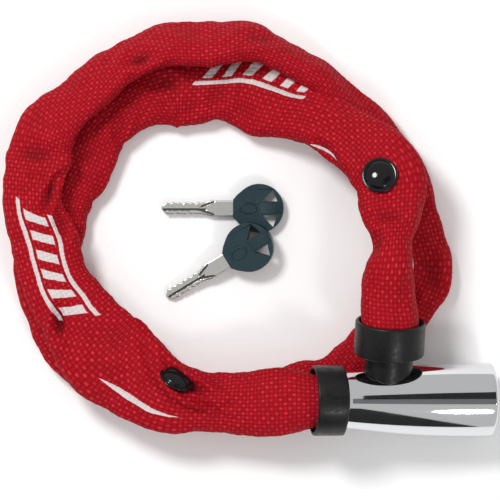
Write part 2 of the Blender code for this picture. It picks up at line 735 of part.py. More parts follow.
def section_ring(form, route, distance, inset):
    """One ring of the sleeve's cross-section, pulled in by inset."""
    _, width, height, _ = route.values(distance)
    centre = route.sleeve_centre(distance)
    _, across, over = route.axes(distance)
    ring = []
    for index in range(SLEEVE_SIDES):
        angle = 2 * math.pi * (index + 0.5) / SLEEVE_SIDES
        side = across * (math.cos(angle) * (width / 2 - inset))
        rise = over * (math.sin(angle) * (height / 2 - inset))
        ring.append(form.verts.new(centre + side + rise))
    return ring


def join_rings(form, first, second):
    """Faces between two rings, facing out where the rings run along the route."""
    count = len(first)
    for index in range(count):
        after = (index + 1) % count
        form.faces.new((first[index], first[after], second[after], second[index]))


def ring_distances(route, start, end):
    """The ends of a section and the places between them where it has rings."""
    margin = 0.003
    distances = [start]
    for joint, after in zip(route.joints, route.joints[1:]):
        places = [joint + (after - joint) * share for share in SLEEVE_RING_SHARES]
        distances += [place for place in places if start + margin < place < end - margin]
    return distances + [end]


def make_sleeve_section(shop, route, name, start, end):
    form = bmesh.new()
    distances = ring_distances(route, start, end)
    outer = [section_ring(form, route, distance, 0.0) for distance in distances]
    inner = [section_ring(form, route, distance, SLEEVE_WALL) for distance in distances]
    for rings in (outer, list(reversed(inner))):
        for first, second in zip(rings, rings[1:]):
            join_rings(form, first, second)
    join_rings(form, inner[0], outer[0])
    join_rings(form, outer[-1], inner[-1])
    bmesh.ops.recalc_face_normals(form, faces=form.faces)
    mesh = bpy.data.meshes.new(name)
    form.to_mesh(mesh)
    form.free()
    smooth_round(mesh)
    shop.part(name, mesh, "red_fabric")


def sleeve_sections(route):
    """The sleeve's lengths: soft ones over the fold and at the pin, and those between."""
    fold_left = route.crossings(-FOLD_HALF)
    fold_right = route.crossings(FOLD_HALF)
    start = SLEEVE_INSET
    end = route.length - SLEEVE_INSET
    pin_end = route.length - PIN_END_LENGTH
    cuts = (start, fold_left[0], fold_left[1], fold_right[1], fold_right[2],
            fold_left[2], fold_left[3], fold_right[3], pin_end, end)
    names = ("sleeve_bend_1", "sleeve_outer_left", "sleeve_bend_2", "sleeve_outer_right",
             "sleeve_bend_3", "sleeve_inner_left", "sleeve_bend_4", "sleeve_inner_right",
             "sleeve_pin_end")
    return list(zip(names, cuts, cuts[1:]))


def make_sleeve(shop, route):
    for name, start, end in sleeve_sections(route):
        make_sleeve_section(shop, route, name, start + GAP / 2, end - GAP / 2)


# ---------------------------------------------------------------- chain

def link_curve():
    """One link: a closed wire with two round crowns."""
    centre = LINK_INNER_LENGTH / 2 + WIRE_RADIUS - LINK_HALF_WIDTH
    points = arc((centre, 0.0), LINK_HALF_WIDTH, -90, 90, CROWN_POINTS)
    points += arc((-centre, 0.0), LINK_HALF_WIDTH, 90, 270, CROWN_POINTS)
    curve = bpy.data.curves.new("chain_link", "CURVE")
    curve.dimensions = "3D"
    curve.bevel_depth = WIRE_RADIUS
    curve.bevel_resolution = 1
    spline = curve.splines.new("POLY")
    spline.points.add(len(points) - 1)
    spline.use_cyclic_u = True
    for point, (x, y) in zip(spline.points, points):
        point.co = (x, y, 0.0, 1.0)
    return curve


def link_joints(route):
    """Where each link hangs in the next: one place is on each crossing of the fold."""
    pin_link = PIN_LINK_END - CROSS_PIN_DISTANCE + LINK_HOLD
    marks = [0.0, *route.crossings(0.0), route.length - pin_link]
    joints = []
    for start, end in zip(marks, marks[1:]):
        count = max(1, round((end - start) / LINK_PITCH))
        joints += [start + (end - start) * index / count for index in range(count)]
    return joints + [route.length - pin_link, route.length]


def make_chain(shop, route):
    joints = route.joints
    count = len(joints) - 1
    plain = count - len(START_TWISTS) - len(PIN_END_TWISTS)
    twists = (*START_TWISTS, *([0] * plain), *PIN_END_TWISTS)
    curve = link_curve()
    curve.materials.append(shop.materials["steel"])
    for index in range(count):
        start = route.centre(joints[index])
        end = route.centre(joints[index + 1])
        across, over = route.chain_axes(joints[index], joints[index + 1])
        roll = LINK_ROLL + math.radians(twists[index]) + math.pi / 2 * (count - 1 - index)
        width_axis = across * math.cos(roll) + over * math.sin(roll)
        along = (end - start).normalized()
        link = bpy.data.objects.new(f"chain_link_{index + 1:02d}", curve)
        link.matrix_world = frame_matrix((start + end) / 2, along, along.cross(width_axis))
        shop.parts.objects.link(link)


# ---------------------------------------------------------------- snap rivets

def surface_frame(route, distance, angle, gap):
    """A frame on the sleeve's surface, with +Z out of it."""
    _, width, height, _ = route.values(distance)
    centre = route.sleeve_centre(distance)
    along, across, over = route.axes(distance)
    side = width / 2
    rise = height / 2
    point = centre + across * (side * math.cos(angle)) + over * (rise * math.sin(angle))
    normal = across * (math.cos(angle) / side) + over * (math.sin(angle) / rise)
    return frame_matrix(point + normal.normalized() * gap, along, normal)


def make_snaps(shop, route):
    edge = 0.0004
    cap = [(0.0, SNAP_HEIGHT), (0.0030, SNAP_HEIGHT - 0.0002), (0.0052, SNAP_HEIGHT - 0.0008),
           (SNAP_DOME_RADIUS, 0.0014), (SNAP_CAP_RADIUS - edge, 0.0012),
           (SNAP_CAP_RADIUS, 0.0008), (SNAP_CAP_RADIUS - edge, 0.0), (0.0, 0.0)]
    base = [(0.0, SNAP_BASE_HEIGHT), (SNAP_BASE_RADIUS - edge, SNAP_BASE_HEIGHT),
            (SNAP_BASE_RADIUS, SNAP_BASE_HEIGHT / 2), (SNAP_BASE_RADIUS - edge, 0.0),
            (0.0, 0.0)]
    for number, (distance, angle, base_angle) in enumerate(SNAP_PLACES, 1):
        top = turned_part(shop, f"snap_cap_{number}", cap, "gloss_black", None, 28)
        top.matrix_world = surface_frame(route, distance, angle, SNAP_GAP)
        under = turned_part(shop, f"snap_base_{number}", base, "gloss_black", None, 24)
        under.matrix_world = surface_frame(route, distance, base_angle, SNAP_GAP)


# ---------------------------------------------------------------- keys

def blade_outline():
    """A key blade with cuts on both edges: pointed tip, wavy bitting, plain shoulder."""
    upper = [(0.0, 0.0006), (0.0026, KEY_BLADE_HALF - 0.0004)]
    bitting_end = 0.0215
    pitch = (bitting_end - 0.0026) / KEY_CUTS
    for index in range(KEY_CUTS):
        start = 0.0026 + pitch * index
        depth = KEY_CUT_DEPTH * (1.0 if index % 2 else 0.55)
        upper.append((start + pitch * 0.35, KEY_BLADE_HALF - depth))
        upper.append((start + pitch * 0.65, KEY_BLADE_HALF - depth))
        upper.append((start + pitch, KEY_BLADE_HALF - 0.0003))
    upper.append((KEY_BLADE_LENGTH - 0.0008, KEY_BLADE_HALF))
    upper.append((KEY_BLADE_LENGTH - 0.0008, KEY_TANG_HALF))
    upper.append((KEY_BLADE_LENGTH + KEY_TANG_LENGTH, KEY_TANG_HALF))
    lower = [(x, -y) for x, y in reversed(upper)]
    return lower + upper


def head_outline():
    """The moulded head, seen from above: narrow at the blade, broad and round behind."""
    start = KEY_BLADE_LENGTH
    upper = [(start, 0.0042), (start + 0.0020, 0.0066)]
    upper += arc((start + 0.0128, 0.0), KEY_HEAD_HALF, 128, 60, 8)
    upper += arc((start + 0.0128, 0.0), KEY_HEAD_HALF, 50, 10, 5)
    upper.append((start + KEY_HEAD_LENGTH, 0.0))
    lower = [(x, -y) for x, y in reversed(upper[:-1])]
    return upper + lower


def head_holes():
    """Two holes with three corners, one each side of the head's middle bar."""
    start = KEY_BLADE_LENGTH
    upper = [(start + 0.0140, 0.0034), (start + 0.0216, 0.0034), (start + 0.0196, 0.0092)]
    lower = [(x, -y) for x, y in reversed(upper)]
    return upper, lower


def make_key(shop, number, frame):
    blade = mesh_from_curve(f"key_{number}_blade", outline_curve(
        f"key_{number}_blade", (blade_outline(),), KEY_BLADE_THICKNESS))
    shop.part(f"key_{number}_blade", blade, "nickel", frame)
    upper, lower = head_holes()
    head = mesh_from_curve(f"key_{number}_head", outline_curve(
        f"key_{number}_head", (head_outline(), upper, lower), KEY_HEAD_THICKNESS))
    piece = shop.part(f"key_{number}_head", head, "key_plastic", frame)
    half = KEY_TANG_HALF + GAP
    rise = KEY_BLADE_THICKNESS / 2 + GAP
    socket = box_mesh(f"key_{number}_socket", (KEY_BLADE_LENGTH - 0.002, -half, -rise),
                      (KEY_BLADE_LENGTH + KEY_TANG_LENGTH + GAP, half, rise))
    shop.cut(piece, shop.cutter(f"key_{number}_socket", socket, frame))


def make_keys(shop):
    flat = Vector((math.cos(KEY_ONE_TURN), math.sin(KEY_ONE_TURN), 0.0))
    upright = Vector((0.0, 0.0, 1.0))
    make_key(shop, 1, shop.frame("key_1_frame", frame_matrix(KEY_ONE_TIP, flat, upright)))
    level = Vector((math.cos(KEY_TWO_TURN), math.sin(KEY_TWO_TURN), 0.0))
    along = level * math.cos(KEY_TWO_LIFT) + upright * math.sin(KEY_TWO_LIFT)
    normal = upright * math.cos(KEY_TWO_LIFT) - level * math.sin(KEY_TWO_LIFT)
    make_key(shop, 2, shop.frame("key_2_frame", frame_matrix(KEY_TWO_TIP, along, normal)))


# ---------------------------------------------------------------- assembly

def main():
    clear_scene()
    shop = Workshop()
    route = Route()
    route.set_joints(link_joints(route))
    make_barrel_shell(shop)
    make_lock_core(shop)
    make_anchor_pin(shop)
    make_barrel_collar(shop)
    make_end_bezel(shop)
    make_cylinder_plug(shop)
    make_wafers(shop)
    make_drive_cam(shop)
    make_latch(shop)
    make_locking_pin(shop)
    make_pin_collar(shop)
    make_cross_pin(shop)
    make_pin_seat(shop)
    make_sleeve(shop, route)
    make_chain(shop, route)
    make_snaps(shop, route)
    make_keys(shop)


main()
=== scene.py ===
"""Looks for the chain lock: woven sleeve, chromed barrel, collars, snap rivets, keys."""

import json
import math

import bmesh
import bpy
import numpy as np
from mathutils.bvhtree import BVHTree
from mathutils import Matrix, Vector


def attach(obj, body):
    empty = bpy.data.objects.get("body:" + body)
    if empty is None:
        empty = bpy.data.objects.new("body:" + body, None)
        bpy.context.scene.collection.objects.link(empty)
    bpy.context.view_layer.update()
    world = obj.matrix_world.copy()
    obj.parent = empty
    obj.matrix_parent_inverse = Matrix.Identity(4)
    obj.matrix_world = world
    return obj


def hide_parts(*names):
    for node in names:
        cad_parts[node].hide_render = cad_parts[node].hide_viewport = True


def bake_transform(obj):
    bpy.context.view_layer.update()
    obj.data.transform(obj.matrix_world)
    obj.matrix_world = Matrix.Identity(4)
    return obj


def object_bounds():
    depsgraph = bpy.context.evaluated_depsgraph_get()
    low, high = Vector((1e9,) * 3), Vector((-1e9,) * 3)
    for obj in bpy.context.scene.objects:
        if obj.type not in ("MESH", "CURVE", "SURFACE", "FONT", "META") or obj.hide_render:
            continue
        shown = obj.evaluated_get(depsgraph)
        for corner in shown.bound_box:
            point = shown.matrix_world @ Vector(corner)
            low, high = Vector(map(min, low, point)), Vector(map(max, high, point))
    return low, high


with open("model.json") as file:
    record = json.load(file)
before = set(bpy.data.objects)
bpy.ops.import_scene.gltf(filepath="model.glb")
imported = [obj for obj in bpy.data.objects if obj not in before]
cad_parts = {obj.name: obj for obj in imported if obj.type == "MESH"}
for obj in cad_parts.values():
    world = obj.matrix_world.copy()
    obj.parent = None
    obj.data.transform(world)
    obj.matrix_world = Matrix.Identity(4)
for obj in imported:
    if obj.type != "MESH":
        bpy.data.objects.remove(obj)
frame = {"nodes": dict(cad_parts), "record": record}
cad_low, cad_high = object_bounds()

# ---------------------------------------------------------------- frames of the CAD
BARREL_END = Vector((0.0455, -0.0833, 0.0295))
BARREL_TILT = math.radians(9.3)
PIN_STATION = 0.0210
PIN_LIFT = math.radians(15)
BARREL_AXIS = Vector((math.cos(BARREL_TILT), 0.0, -math.sin(BARREL_TILT)))
BARREL_DOWN = Vector((-math.sin(BARREL_TILT), 0.0, -math.cos(BARREL_TILT)))
PIN_AXIS = Vector((0.0, math.cos(PIN_LIFT), 0.0)) - BARREL_DOWN * math.sin(PIN_LIFT)
PIN_CENTRE = BARREL_END + BARREL_AXIS * PIN_STATION


def frame_matrix(origin, x_axis, z_axis):
    z = z_axis.normalized()
    x = (x_axis - z * x_axis.dot(z)).normalized()
    rotation = Matrix((x, z.cross(x), z)).transposed().to_4x4()
    return Matrix.Translation(origin) @ rotation


BARREL_FRAME = frame_matrix(BARREL_END, BARREL_DOWN, BARREL_AXIS)
PIN_FRAME = frame_matrix(PIN_CENTRE, BARREL_AXIS, PIN_AXIS)

# ---------------------------------------------------------------- camera
CAMERA_HEIGHT = 2.5
VIEW_CENTRE = (0.0, -0.0104)
VIEW_WIDTH = 0.243                # across the picture, at the middle of the lock
MIDDLE_HEIGHT = 0.020


def make_camera():
    data = bpy.data.cameras.new("camera")
    data.sensor_width = 36.0
    data.lens = data.sensor_width * CAMERA_HEIGHT / VIEW_WIDTH
    data.clip_end = 20.0
    camera = bpy.data.objects.new("camera", data)
    camera.location = (*VIEW_CENTRE, MIDDLE_HEIGHT + CAMERA_HEIGHT)
    bpy.context.scene.collection.objects.link(camera)
    bpy.context.scene.camera = camera


make_camera()

# ---------------------------------------------------------------- route of the sleeve
# x, y, z, width, height and lean in degrees, as in the CAD.
ROUTE = (
    (0.0185, -0.0836, 0.0284, 0.0280, 0.0190, 0),
    (0.0045, -0.0843, 0.0245, 0.0320, 0.0172, 0),
    (-0.0170, -0.0843, 0.0236, 0.0300, 0.0150, 0),
    (-0.0410, -0.0790, 0.0240, 0.0355, 0.0144, 0),
    (-0.0670, -0.0625, 0.0222, 0.0400, 0.0144, 0),
    (-0.0870, -0.0386, 0.0213, 0.0380, 0.0138, 0),
    (-0.0988, -0.0110, 0.0213, 0.0360, 0.0138, 0),
    (-0.1041, 0.0180, 0.0213, 0.0350, 0.0138, -2),
    (-0.1000, 0.0425, 0.0208, 0.0335, 0.0142, -10),
    (-0.0860, 0.0625, 0.0198, 0.0315, 0.0146, -23),
    (-0.0645, 0.0795, 0.0188, 0.0302, 0.0146, -36),
    (-0.0400, 0.0895, 0.0180, 0.0300, 0.0146, -44),
    (-0.0130, 0.0912, 0.0176, 0.0295, 0.0152, -50),
    (0.0068, 0.0899, 0.0168, 0.0280, 0.0158, -60),
    (0.0205, 0.0832, 0.0158, 0.0270, 0.0162, -68),
    (0.0365, 0.0728, 0.0144, 0.0264, 0.0162, -70),
    (0.0508, 0.0626, 0.0120, 0.0256, 0.0162, -46),
    (0.0622, 0.0496, 0.0092, 0.0275, 0.0160, -16),
    (0.0700, 0.0310, 0.0076, 0.0320, 0.0148, 0),
    (0.0778, 0.0080, 0.0069, 0.0340, 0.0138, 0),
    (0.0820, -0.0150, 0.0069, 0.0330, 0.0138, 0),
    (0.0745, -0.0385, 0.0069, 0.0300, 0.0138, 0),
    (0.0590, -0.0600, 0.0069, 0.0270, 0.0137, 0),
    (0.0385, -0.0740, 0.0067, 0.0270, 0.0135, 0),
    (0.0150, -0.0810, 0.0069, 0.0295, 0.0138, 0),
    (-0.0150, -0.0822, 0.0069, 0.0290, 0.0138, 0),
    (-0.0440, -0.0748, 0.0069, 0.0305, 0.0138, 0),
    (-0.0690, -0.0560, 0.0069, 0.0320, 0.0138, 0),
    (-0.0875, -0.0309, 0.0069, 0.0320, 0.0138, 0),
    (-0.0950, -0.0040, 0.0069, 0.0320, 0.0138, 0),
    (-0.0865, 0.0207, 0.0069, 0.0320, 0.0138, 0),
    (-0.0750, 0.0455, 0.0069, 0.0320, 0.0138, 0),
    (-0.0540, 0.0632, 0.0069, 0.0320, 0.0138, 0),
    (-0.0270, 0.0665, 0.0069, 0.0310, 0.0138, 0),
    (0.0010, 0.0618, 0.0069, 0.0300, 0.0138, 0),
    (0.0180, 0.0557, 0.0088, 0.0250, 0.0150, 0),
    (0.0295, 0.0505, 0.0178, 0.0215, 0.0160, -12),
    (0.0405, 0.0439, 0.0270, 0.0212, 0.0158, -12),
    (0.0525, 0.0358, 0.0302, 0.0280, 0.0166, -6),
    (0.0632, 0.0235, 0.0325, 0.0350, 0.0176, 0),
    (0.0684, 0.0095, 0.0366, 0.0310, 0.0190, 0),
    (0.0690, -0.0030, 0.0400, 0.0250, 0.0220, 0),
)
BARREL_STATIONS = ((-0.0045, 0.0240, 0.0190), (-0.0168, 0.0245, 0.0190))
PIN_STATIONS = ((0.0690, 0.0246, 0.0250), (0.0560, 0.0262, 0.0252),
                (0.0412, 0.0290, 0.0288), (0.0275, 0.0290, 0.0290))
LAST_LINK = 0.0415                # between the last two joints
LINK_PITCH = 0.0400
CURVE_SAMPLES = 16
CORNER_ROUNDING = 0.0060
BARREL_TURN = 0.0300
SLEEVE_INSET = 0.0085
TAIL_LENGTH = 0.0730              # the soft length behind the locking pin


def spline(points):
    """A Catmull-Rom curve through the points, as rows of values."""
    points = np.array(points, float)
    padded = np.vstack([points[:1], points, points[-1:]])
    rows = []
    for i in range(len(points) - 1):
        before, start, end, after = padded[i:i + 4]
        for t in np.arange(CURVE_SAMPLES) / CURVE_SAMPLES:
            rows.append(0.5 * (start * 2 + (end - before) * t
                               + (before * 2 - start * 5 + end * 4 - after) * t * t
                               + (start * 3 - before - end * 3 + after) * t ** 3))
    rows.append(points[-1])
    return np.array(rows)


def unit(vectors):
    return vectors / np.linalg.norm(vectors, axis=1, keepdims=True)


class Route:
    """The sleeve's centre line and cross-section along the lock."""

    def __init__(self):
        stations = [(*(BARREL_END + BARREL_AXIS * d), w, h, 0.0) for d, w, h in BARREL_STATIONS]
        stations += ROUTE
        stations += [(*(PIN_CENTRE + PIN_AXIS * d), w, h, 0.0) for d, w, h in PIN_STATIONS]
        self.rows = spline(stations)
        steps = np.linalg.norm(np.diff(self.rows[:, :3], axis=0), axis=1)
        self.distance = np.concatenate([[0.0], np.cumsum(steps)])
        self.length = self.distance[-1]
        self.joints = self.find_joints()
        self.joint_points = np.stack([np.interp(self.joints, self.distance, self.rows[:, k])
                                      for k in range(3)], axis=1)

    def crossings(self, x):
        side = self.rows[:, 0] - x
        found = np.nonzero(side[:-1] * side[1:] < 0)[0]
        share = side[found] / (side[found] - side[found + 1])
        return list(self.distance[found] + share * np.diff(self.distance)[found])

    def find_joints(self):
        marks = [0.0, *self.crossings(0.0), self.length - LAST_LINK]
        joints = []
        for start, end in zip(marks, marks[1:]):
            count = max(1, round((end - start) / LINK_PITCH))
            joints += [start + (end - start) * i / count for i in range(count)]
        return np.array(joints + [self.length - LAST_LINK, self.length])

    def value(self, s, column):
        return np.interp(s, self.distance, self.rows[:, column])

    def chain_point(self, s):
        return np.stack([np.interp(s, self.joints, self.joint_points[:, k])
                         for k in range(3)], axis=1)

    def centre(self, s):
        shifts = np.linspace(-1.0, 1.0, 9) * CORNER_ROUNDING
        return np.mean([self.chain_point(s + shift) for shift in shifts], axis=0)

    def axes(self, s):
        """Along, across (outwards) and over (up) at each distance."""
        reach = 0.003
        along = unit(self.centre(np.minimum(s + reach, self.length))
                     - self.centre(np.maximum(s - reach, 0.0)))
        turn = np.clip(1.0 - s / BARREL_TURN, 0.0, 1.0)[:, None]
        along = unit(along * (1 - turn) - np.array(BARREL_AXIS) * turn)
        level = unit(np.cross((0.0, 0.0, 1.0), along))
        upright = np.cross(along, level)
        lean = np.radians(self.value(s, 5))[:, None]
        across = level * np.cos(lean) + upright * np.sin(lean)
        return along, across, np.cross(along, across)


route = Route()


def link_trees():
    """Each chain link's distance along the lock, and its faces in a search tree."""
    distances = np.arange(0.0, route.length, 0.001)
    line = route.centre(distances)
    trees = []
    for name, node in frame["nodes"].items():
        if "link" in name:
            points = [vertex.co for vertex in node.data.vertices]
            faces = [tuple(face.vertices) for face in node.data.polygons]
            away = np.linalg.norm(line - np.mean(points, axis=0), axis=1)
            trees.append((distances[np.argmin(away)], BVHTree.FromPolygons(points, faces)))
    return trees


LINKS = link_trees()

# ---------------------------------------------------------------- sleeve
CELL = 0.00210                    # one crossing of the weave
CELLS_AROUND = 40
POINTS_AROUND = CELLS_AROUND * 2
SQUARENESS = 2.35                 # of the flattened tube's section
RELIEF = 0.00014                  # height of the weave in the mesh
EDGE_SOFTENING = 0.0035
LINK_GAP = 0.0006                 # least room between the cloth and a link
LINK_REACH = 0.036                # a link touches the cloth this far from its middle
LINK_SEARCH = 0.0050
LIFT_SPREAD = 4                   # how a pushed-out point takes its neighbours along
LIFT_FALL = 0.72
FLOOR_GAP = 0.0005

# Where the cloth's edges lie in plan: distance along the lock, then millimetres from the
# chain to the inner edge and to the outer edge. The cloth is loose, so its edges are
# scalloped and stand well off the chain where the lock turns.
CLOTH_EDGES = (
    (0.000, 12.0, 12.0), (0.011, 12.8, 12.8), (0.016, 14.4, 14.2), (0.022, 16.6, 15.7),
    (0.030, 16.7, 16.7), (0.040, 15.5, 16.3), (0.050, 13.6, 15.8), (0.060, 12.2, 16.0),
    (0.070, 13.3, 17.7), (0.080, 15.3, 20.2), (0.090, 15.9, 22.0), (0.100, 17.8, 23.0),
    (0.110, 21.2, 24.0), (0.120, 21.6, 24.6), (0.130, 20.0, 23.0), (0.140, 17.4, 20.2),
    (0.150, 17.0, 18.6), (0.160, 15.2, 17.8), (0.170, 14.4, 17.6), (0.180, 16.0, 17.4),
    (0.190, 14.4, 16.9), (0.200, 11.4, 17.7), (0.210, 10.4, 18.7), (0.220, 12.4, 18.0),
    (0.230, 13.2, 15.9), (0.240, 12.2, 15.8), (0.250, 10.4, 14.1), (0.260, 11.2, 11.3),
    (0.270, 12.4, 10.0), (0.280, 10.8, 11.0), (0.290, 8.6, 11.6), (0.300, 8.0, 11.4),
    (0.310, 10.2, 11.4), (0.320, 11.7, 10.7), (0.330, 12.2, 10.7), (0.340, 11.0, 10.6),
    (0.350, 8.6, 10.4), (0.360, 7.6, 9.2), (0.370, 7.6, 8.4), (0.380, 8.0, 7.6),
    (0.390, 8.0, 7.4), (0.400, 8.4, 7.4), (0.410, 9.0, 7.4), (0.420, 10.0, 7.6),
    (0.430, 12.0, 8.8), (0.440, 14.0, 12.0), (0.450, 15.6, 14.7), (0.460, 16.0, 15.2),
    (0.470, 16.0, 14.6), (0.480, 16.0, 15.7), (0.490, 16.0, 16.9), (0.500, 15.6, 18.9),
    (0.510, 15.0, 18.0), (0.520, 14.4, 16.7), (0.530, 14.0, 14.8), (0.540, 12.6, 14.0),
    (0.550, 11.4, 13.4), (0.560, 9.6, 13.2), (0.570, 9.4, 13.6), (0.580, 13.0, 13.8),
    (0.590, 11.4, 14.6), (0.600, 11.6, 15.0), (0.620, 9.6, 16.0), (0.640, 9.4, 17.0),
    (0.660, 9.2, 20.0), (0.670, 9.0, 23.0), (0.680, 8.8, 26.0), (0.690, 8.6, 28.8),
    (0.700, 8.4, 30.2), (0.710, 8.4, 29.2), (0.720, 8.6, 26.6), (0.730, 9.0, 25.2),
    (0.740, 7.8, 23.6), (0.750, 9.2, 20.0), (0.760, 10.8, 17.0), (0.770, 12.0, 16.0),
    (0.780, 14.3, 16.0), (0.790, 14.2, 16.0), (0.800, 12.8, 16.0), (0.810, 11.8, 15.6),
    (0.820, 9.6, 16.0), (0.830, 9.8, 17.0), (0.840, 16.0, 17.6), (0.850, 16.7, 16.6),
    (0.860, 13.5, 16.4), (0.870, 9.8, 17.6), (0.880, 13.8, 22.0), (0.890, 15.7, 22.6),
    (0.900, 12.7, 21.4), (0.910, 9.9, 19.8), (0.920, 8.8, 18.8), (0.930, 9.0, 18.9),
    (0.940, 8.2, 21.2), (0.950, 8.0, 23.4), (0.960, 11.5, 23.6), (0.970, 12.6, 22.6),
    (0.980, 13.2, 19.0), (0.990, 9.4, 14.8), (0.998, 7.9, 10.6), (1.004, 10.4, 9.4),
    (1.012, 14.0, 9.4), (1.020, 15.0, 10.8), (1.030, 14.9, 12.6), (1.037, 14.2, 13.9),
    (1.050, 13.4, 13.4),
)

# Folds pressed into the sleeve: distance along, place around in degrees (0 outer edge,
# 90 top, 180 inner edge, 270 bottom), length along, width around in degrees, depth,
# and slant in degrees per millimetre.
FOLDS = (
    (0.077, 130, 0.0120, 13, 0.0050, 1.2),
    (0.0800, 99, 0.0130, 9, -0.0052, 1.6), (0.060, 150, 0.0060, 22, 0.0014, 2.0),
    (0.046, 70, 0.0050, 40, 0.0006, 3.0), (0.108, 60, 0.0160, 16, 0.0012, 1.5),
    (0.145, 52, 0.0060, 13, 0.0044, 2.0), (0.133, 34, 0.0090, 26, 0.0012, 2.0),
    (0.120, 120, 0.0110, 30, 0.0014, -2.0), (0.188, 150, 0.0070, 16, 0.0022, 1.0),
    (0.206, 138, 0.0090, 13, 0.0034, 1.6), (0.224, 84, 0.0052, 46, 0.0026, -1.5),
    (0.214, 110, 0.0040, 24, 0.0014, 2.0), (0.238, 60, 0.0065, 30, 0.0014, -2.0),
    (0.262, 50, 0.0090, 26, 0.0010, 2.0), (0.294, 128, 0.0062, 26, 0.0030, 1.5),
    (0.320, 70, 0.0080, 30, 0.0010, 2.0), (0.352, 120, 0.0080, 24, 0.0018, -1.0),
    (0.470, 80, 0.0060, 30, 0.0012, 2.0), (0.500, 60, 0.0075, 26, 0.0026, -2.0),
    (0.514, 96, 0.0080, 20, 0.0022, 1.5), (0.540, 90, 0.0090, 24, 0.0014, 1.0),
    (0.790, 100, 0.0070, 26, 0.0014, 2.0), (0.812, 130, 0.0065, 20, 0.0018, -2.0),
    (0.843, 70, 0.0062, 24, 0.0022, 2.0), (0.856, 120, 0.0040, 20, 0.0012, 3.0),
    (0.868, 96, 0.0050, 30, 0.0016, -3.0), (0.882, 120, 0.0060, 22, 0.0012, 2.0),
    (0.905, 60, 0.0200, 12, 0.0014, 0.8), (0.922, 120, 0.0120, 14, 0.0012, -1.0),
    (0.936, 160, 0.0070, 16, 0.0022, 1.0), (0.946, 108, 0.0060, 20, 0.0012, 2.0),
    (0.986, 106, 0.0034, 40, 0.0022, 1.0), (0.992, 70, 0.0050, 20, 0.0012, -2.0),
    (1.000, 150, 0.0050, 24, 0.0020, 1.0), (1.016, 122, 0.0050, 10, 0.0010, 2.0),
    (1.024, 60, 0.0110, 12, 0.0008, 1.0),
)


def section_shape(width, height):
    """Points evenly spaced around a flattened tube, starting at its outer edge."""
    angle = np.linspace(0.0, 2 * np.pi, 721)
    power = 2.0 / SQUARENESS
    x = np.sign(np.cos(angle)) * np.abs(np.cos(angle)) ** power * width / 2
    y = np.sign(np.sin(angle)) * np.abs(np.sin(angle)) ** power * height / 2
    steps = np.hypot(np.diff(x), np.diff(y))
    length = np.concatenate([[0.0], np.cumsum(steps)])
    place = np.linspace(0.0, length[-1], POINTS_AROUND, endpoint=False)
    return np.interp(place, length, x), np.interp(place, length, y)


def cloth_edges(s):
    """Distances in plan from the chain to the cloth's inner and outer edges."""
    stations, inner, outer = np.array(CLOTH_EDGES).T
    shifts = np.linspace(-1.0, 1.0, 9) * EDGE_SOFTENING
    soft = [[np.interp(s + shift, stations, edge) for shift in shifts] for edge in (inner, outer)]
    return np.mean(soft[0], axis=0) / 1000, np.mean(soft[1], axis=0) / 1000


def sleeve_surface(s):
    """The smooth sleeve, ring by ring, with its edges where the cloth has them."""
    width, height = route.value(s, 3), route.value(s, 4)
    along, across, over = route.axes(s)
    offsets = np.zeros((len(s), POINTS_AROUND, 3))
    for i in range(len(s)):
        x, y = section_shape(width[i], height[i])
        offsets[i] = x[:, None] * across[i] + y[:, None] * over[i]
    level = unit(np.cross((0.0, 0.0, 1.0), along))
    sideways = np.einsum("ijk,ik->ij", offsets, level)
    inner, outer = cloth_edges(s)
    low, high = sideways.min(axis=1), sideways.max(axis=1)
    share = (sideways - low[:, None]) / (high - low)[:, None]
    wanted = -inner[:, None] + share * (inner + outer)[:, None]
    offsets += (wanted - sideways)[:, :, None] * level[:, None, :]
    return route.centre(s)[:, None, :] + offsets


def surface_normals(points):
    lengthways = np.gradient(points, axis=0)
    around = np.roll(points, -1, axis=1) - np.roll(points, 1, axis=1)
    normals = np.cross(around, lengthways)
    return normals / np.linalg.norm(normals, axis=2, keepdims=True)


def ripple(s, around):
    """Small irregular waves in the cloth."""
    random = np.random.default_rng(7)
    total = np.zeros((len(s), len(around)))
    for _ in range(34):
        frequency = random.uniform(14, 110)
        turns = random.integers(1, 7)
        phase = random.uniform(0, 2 * np.pi, 2)
        wave = np.sin(2 * np.pi * frequency * s[:, None] + phase[0] + turns * around[None, :])
        total += wave * np.sin(turns * around[None, :] + phase[1]) / frequency ** 0.5
    return total / 2.0


def fold_depth(s, around):
    depth = np.zeros((len(s), len(around)))
    degrees = np.degrees(around)
    for at, place, length, width, deep, slant in FOLDS:
        run = s[:, None] - at
        turn = (degrees[None, :] - place - slant * run * 1000 + 180) % 360 - 180
        reach = (run / length) ** 2 + (turn / width) ** 2
        depth += deep * (np.exp(-reach) - 0.35 * np.exp(-(np.sqrt(reach) - 1.7) ** 2 / 0.18))
    return depth


def joint_swell(s, around):
    """The cloth swells over the links' ends and sinks between their sides."""
    nearest = np.min(np.abs(s[:, None] - route.joints[None, :]), axis=1)
    swell = np.exp(-(nearest / 0.008) ** 2) - 0.35
    return swell[:, None] * np.abs(np.sin(around))[None, :]


def ring_points(s):
    """All points of the sleeve's cloth for an array of distances, without the weave."""
    around = np.linspace(0.0, 2 * np.pi, POINTS_AROUND, endpoint=False)
    points = sleeve_surface(s)
    ends = np.clip(np.minimum(s - 0.014, 1.034 - s) / 0.012, 0, 1)[:, None]
    push = (ripple(s, around) * 0.0010 + joint_swell(s, around) * 0.0007) * ends
    push -= fold_depth(s, around)
    normals = surface_normals(points)
    points = clear_of_links(s, points + normals * push[:, :, None], normals)
    points[:, :, 2] = np.maximum(points[:, :, 2], cad_low.z + FLOOR_GAP)
    return points


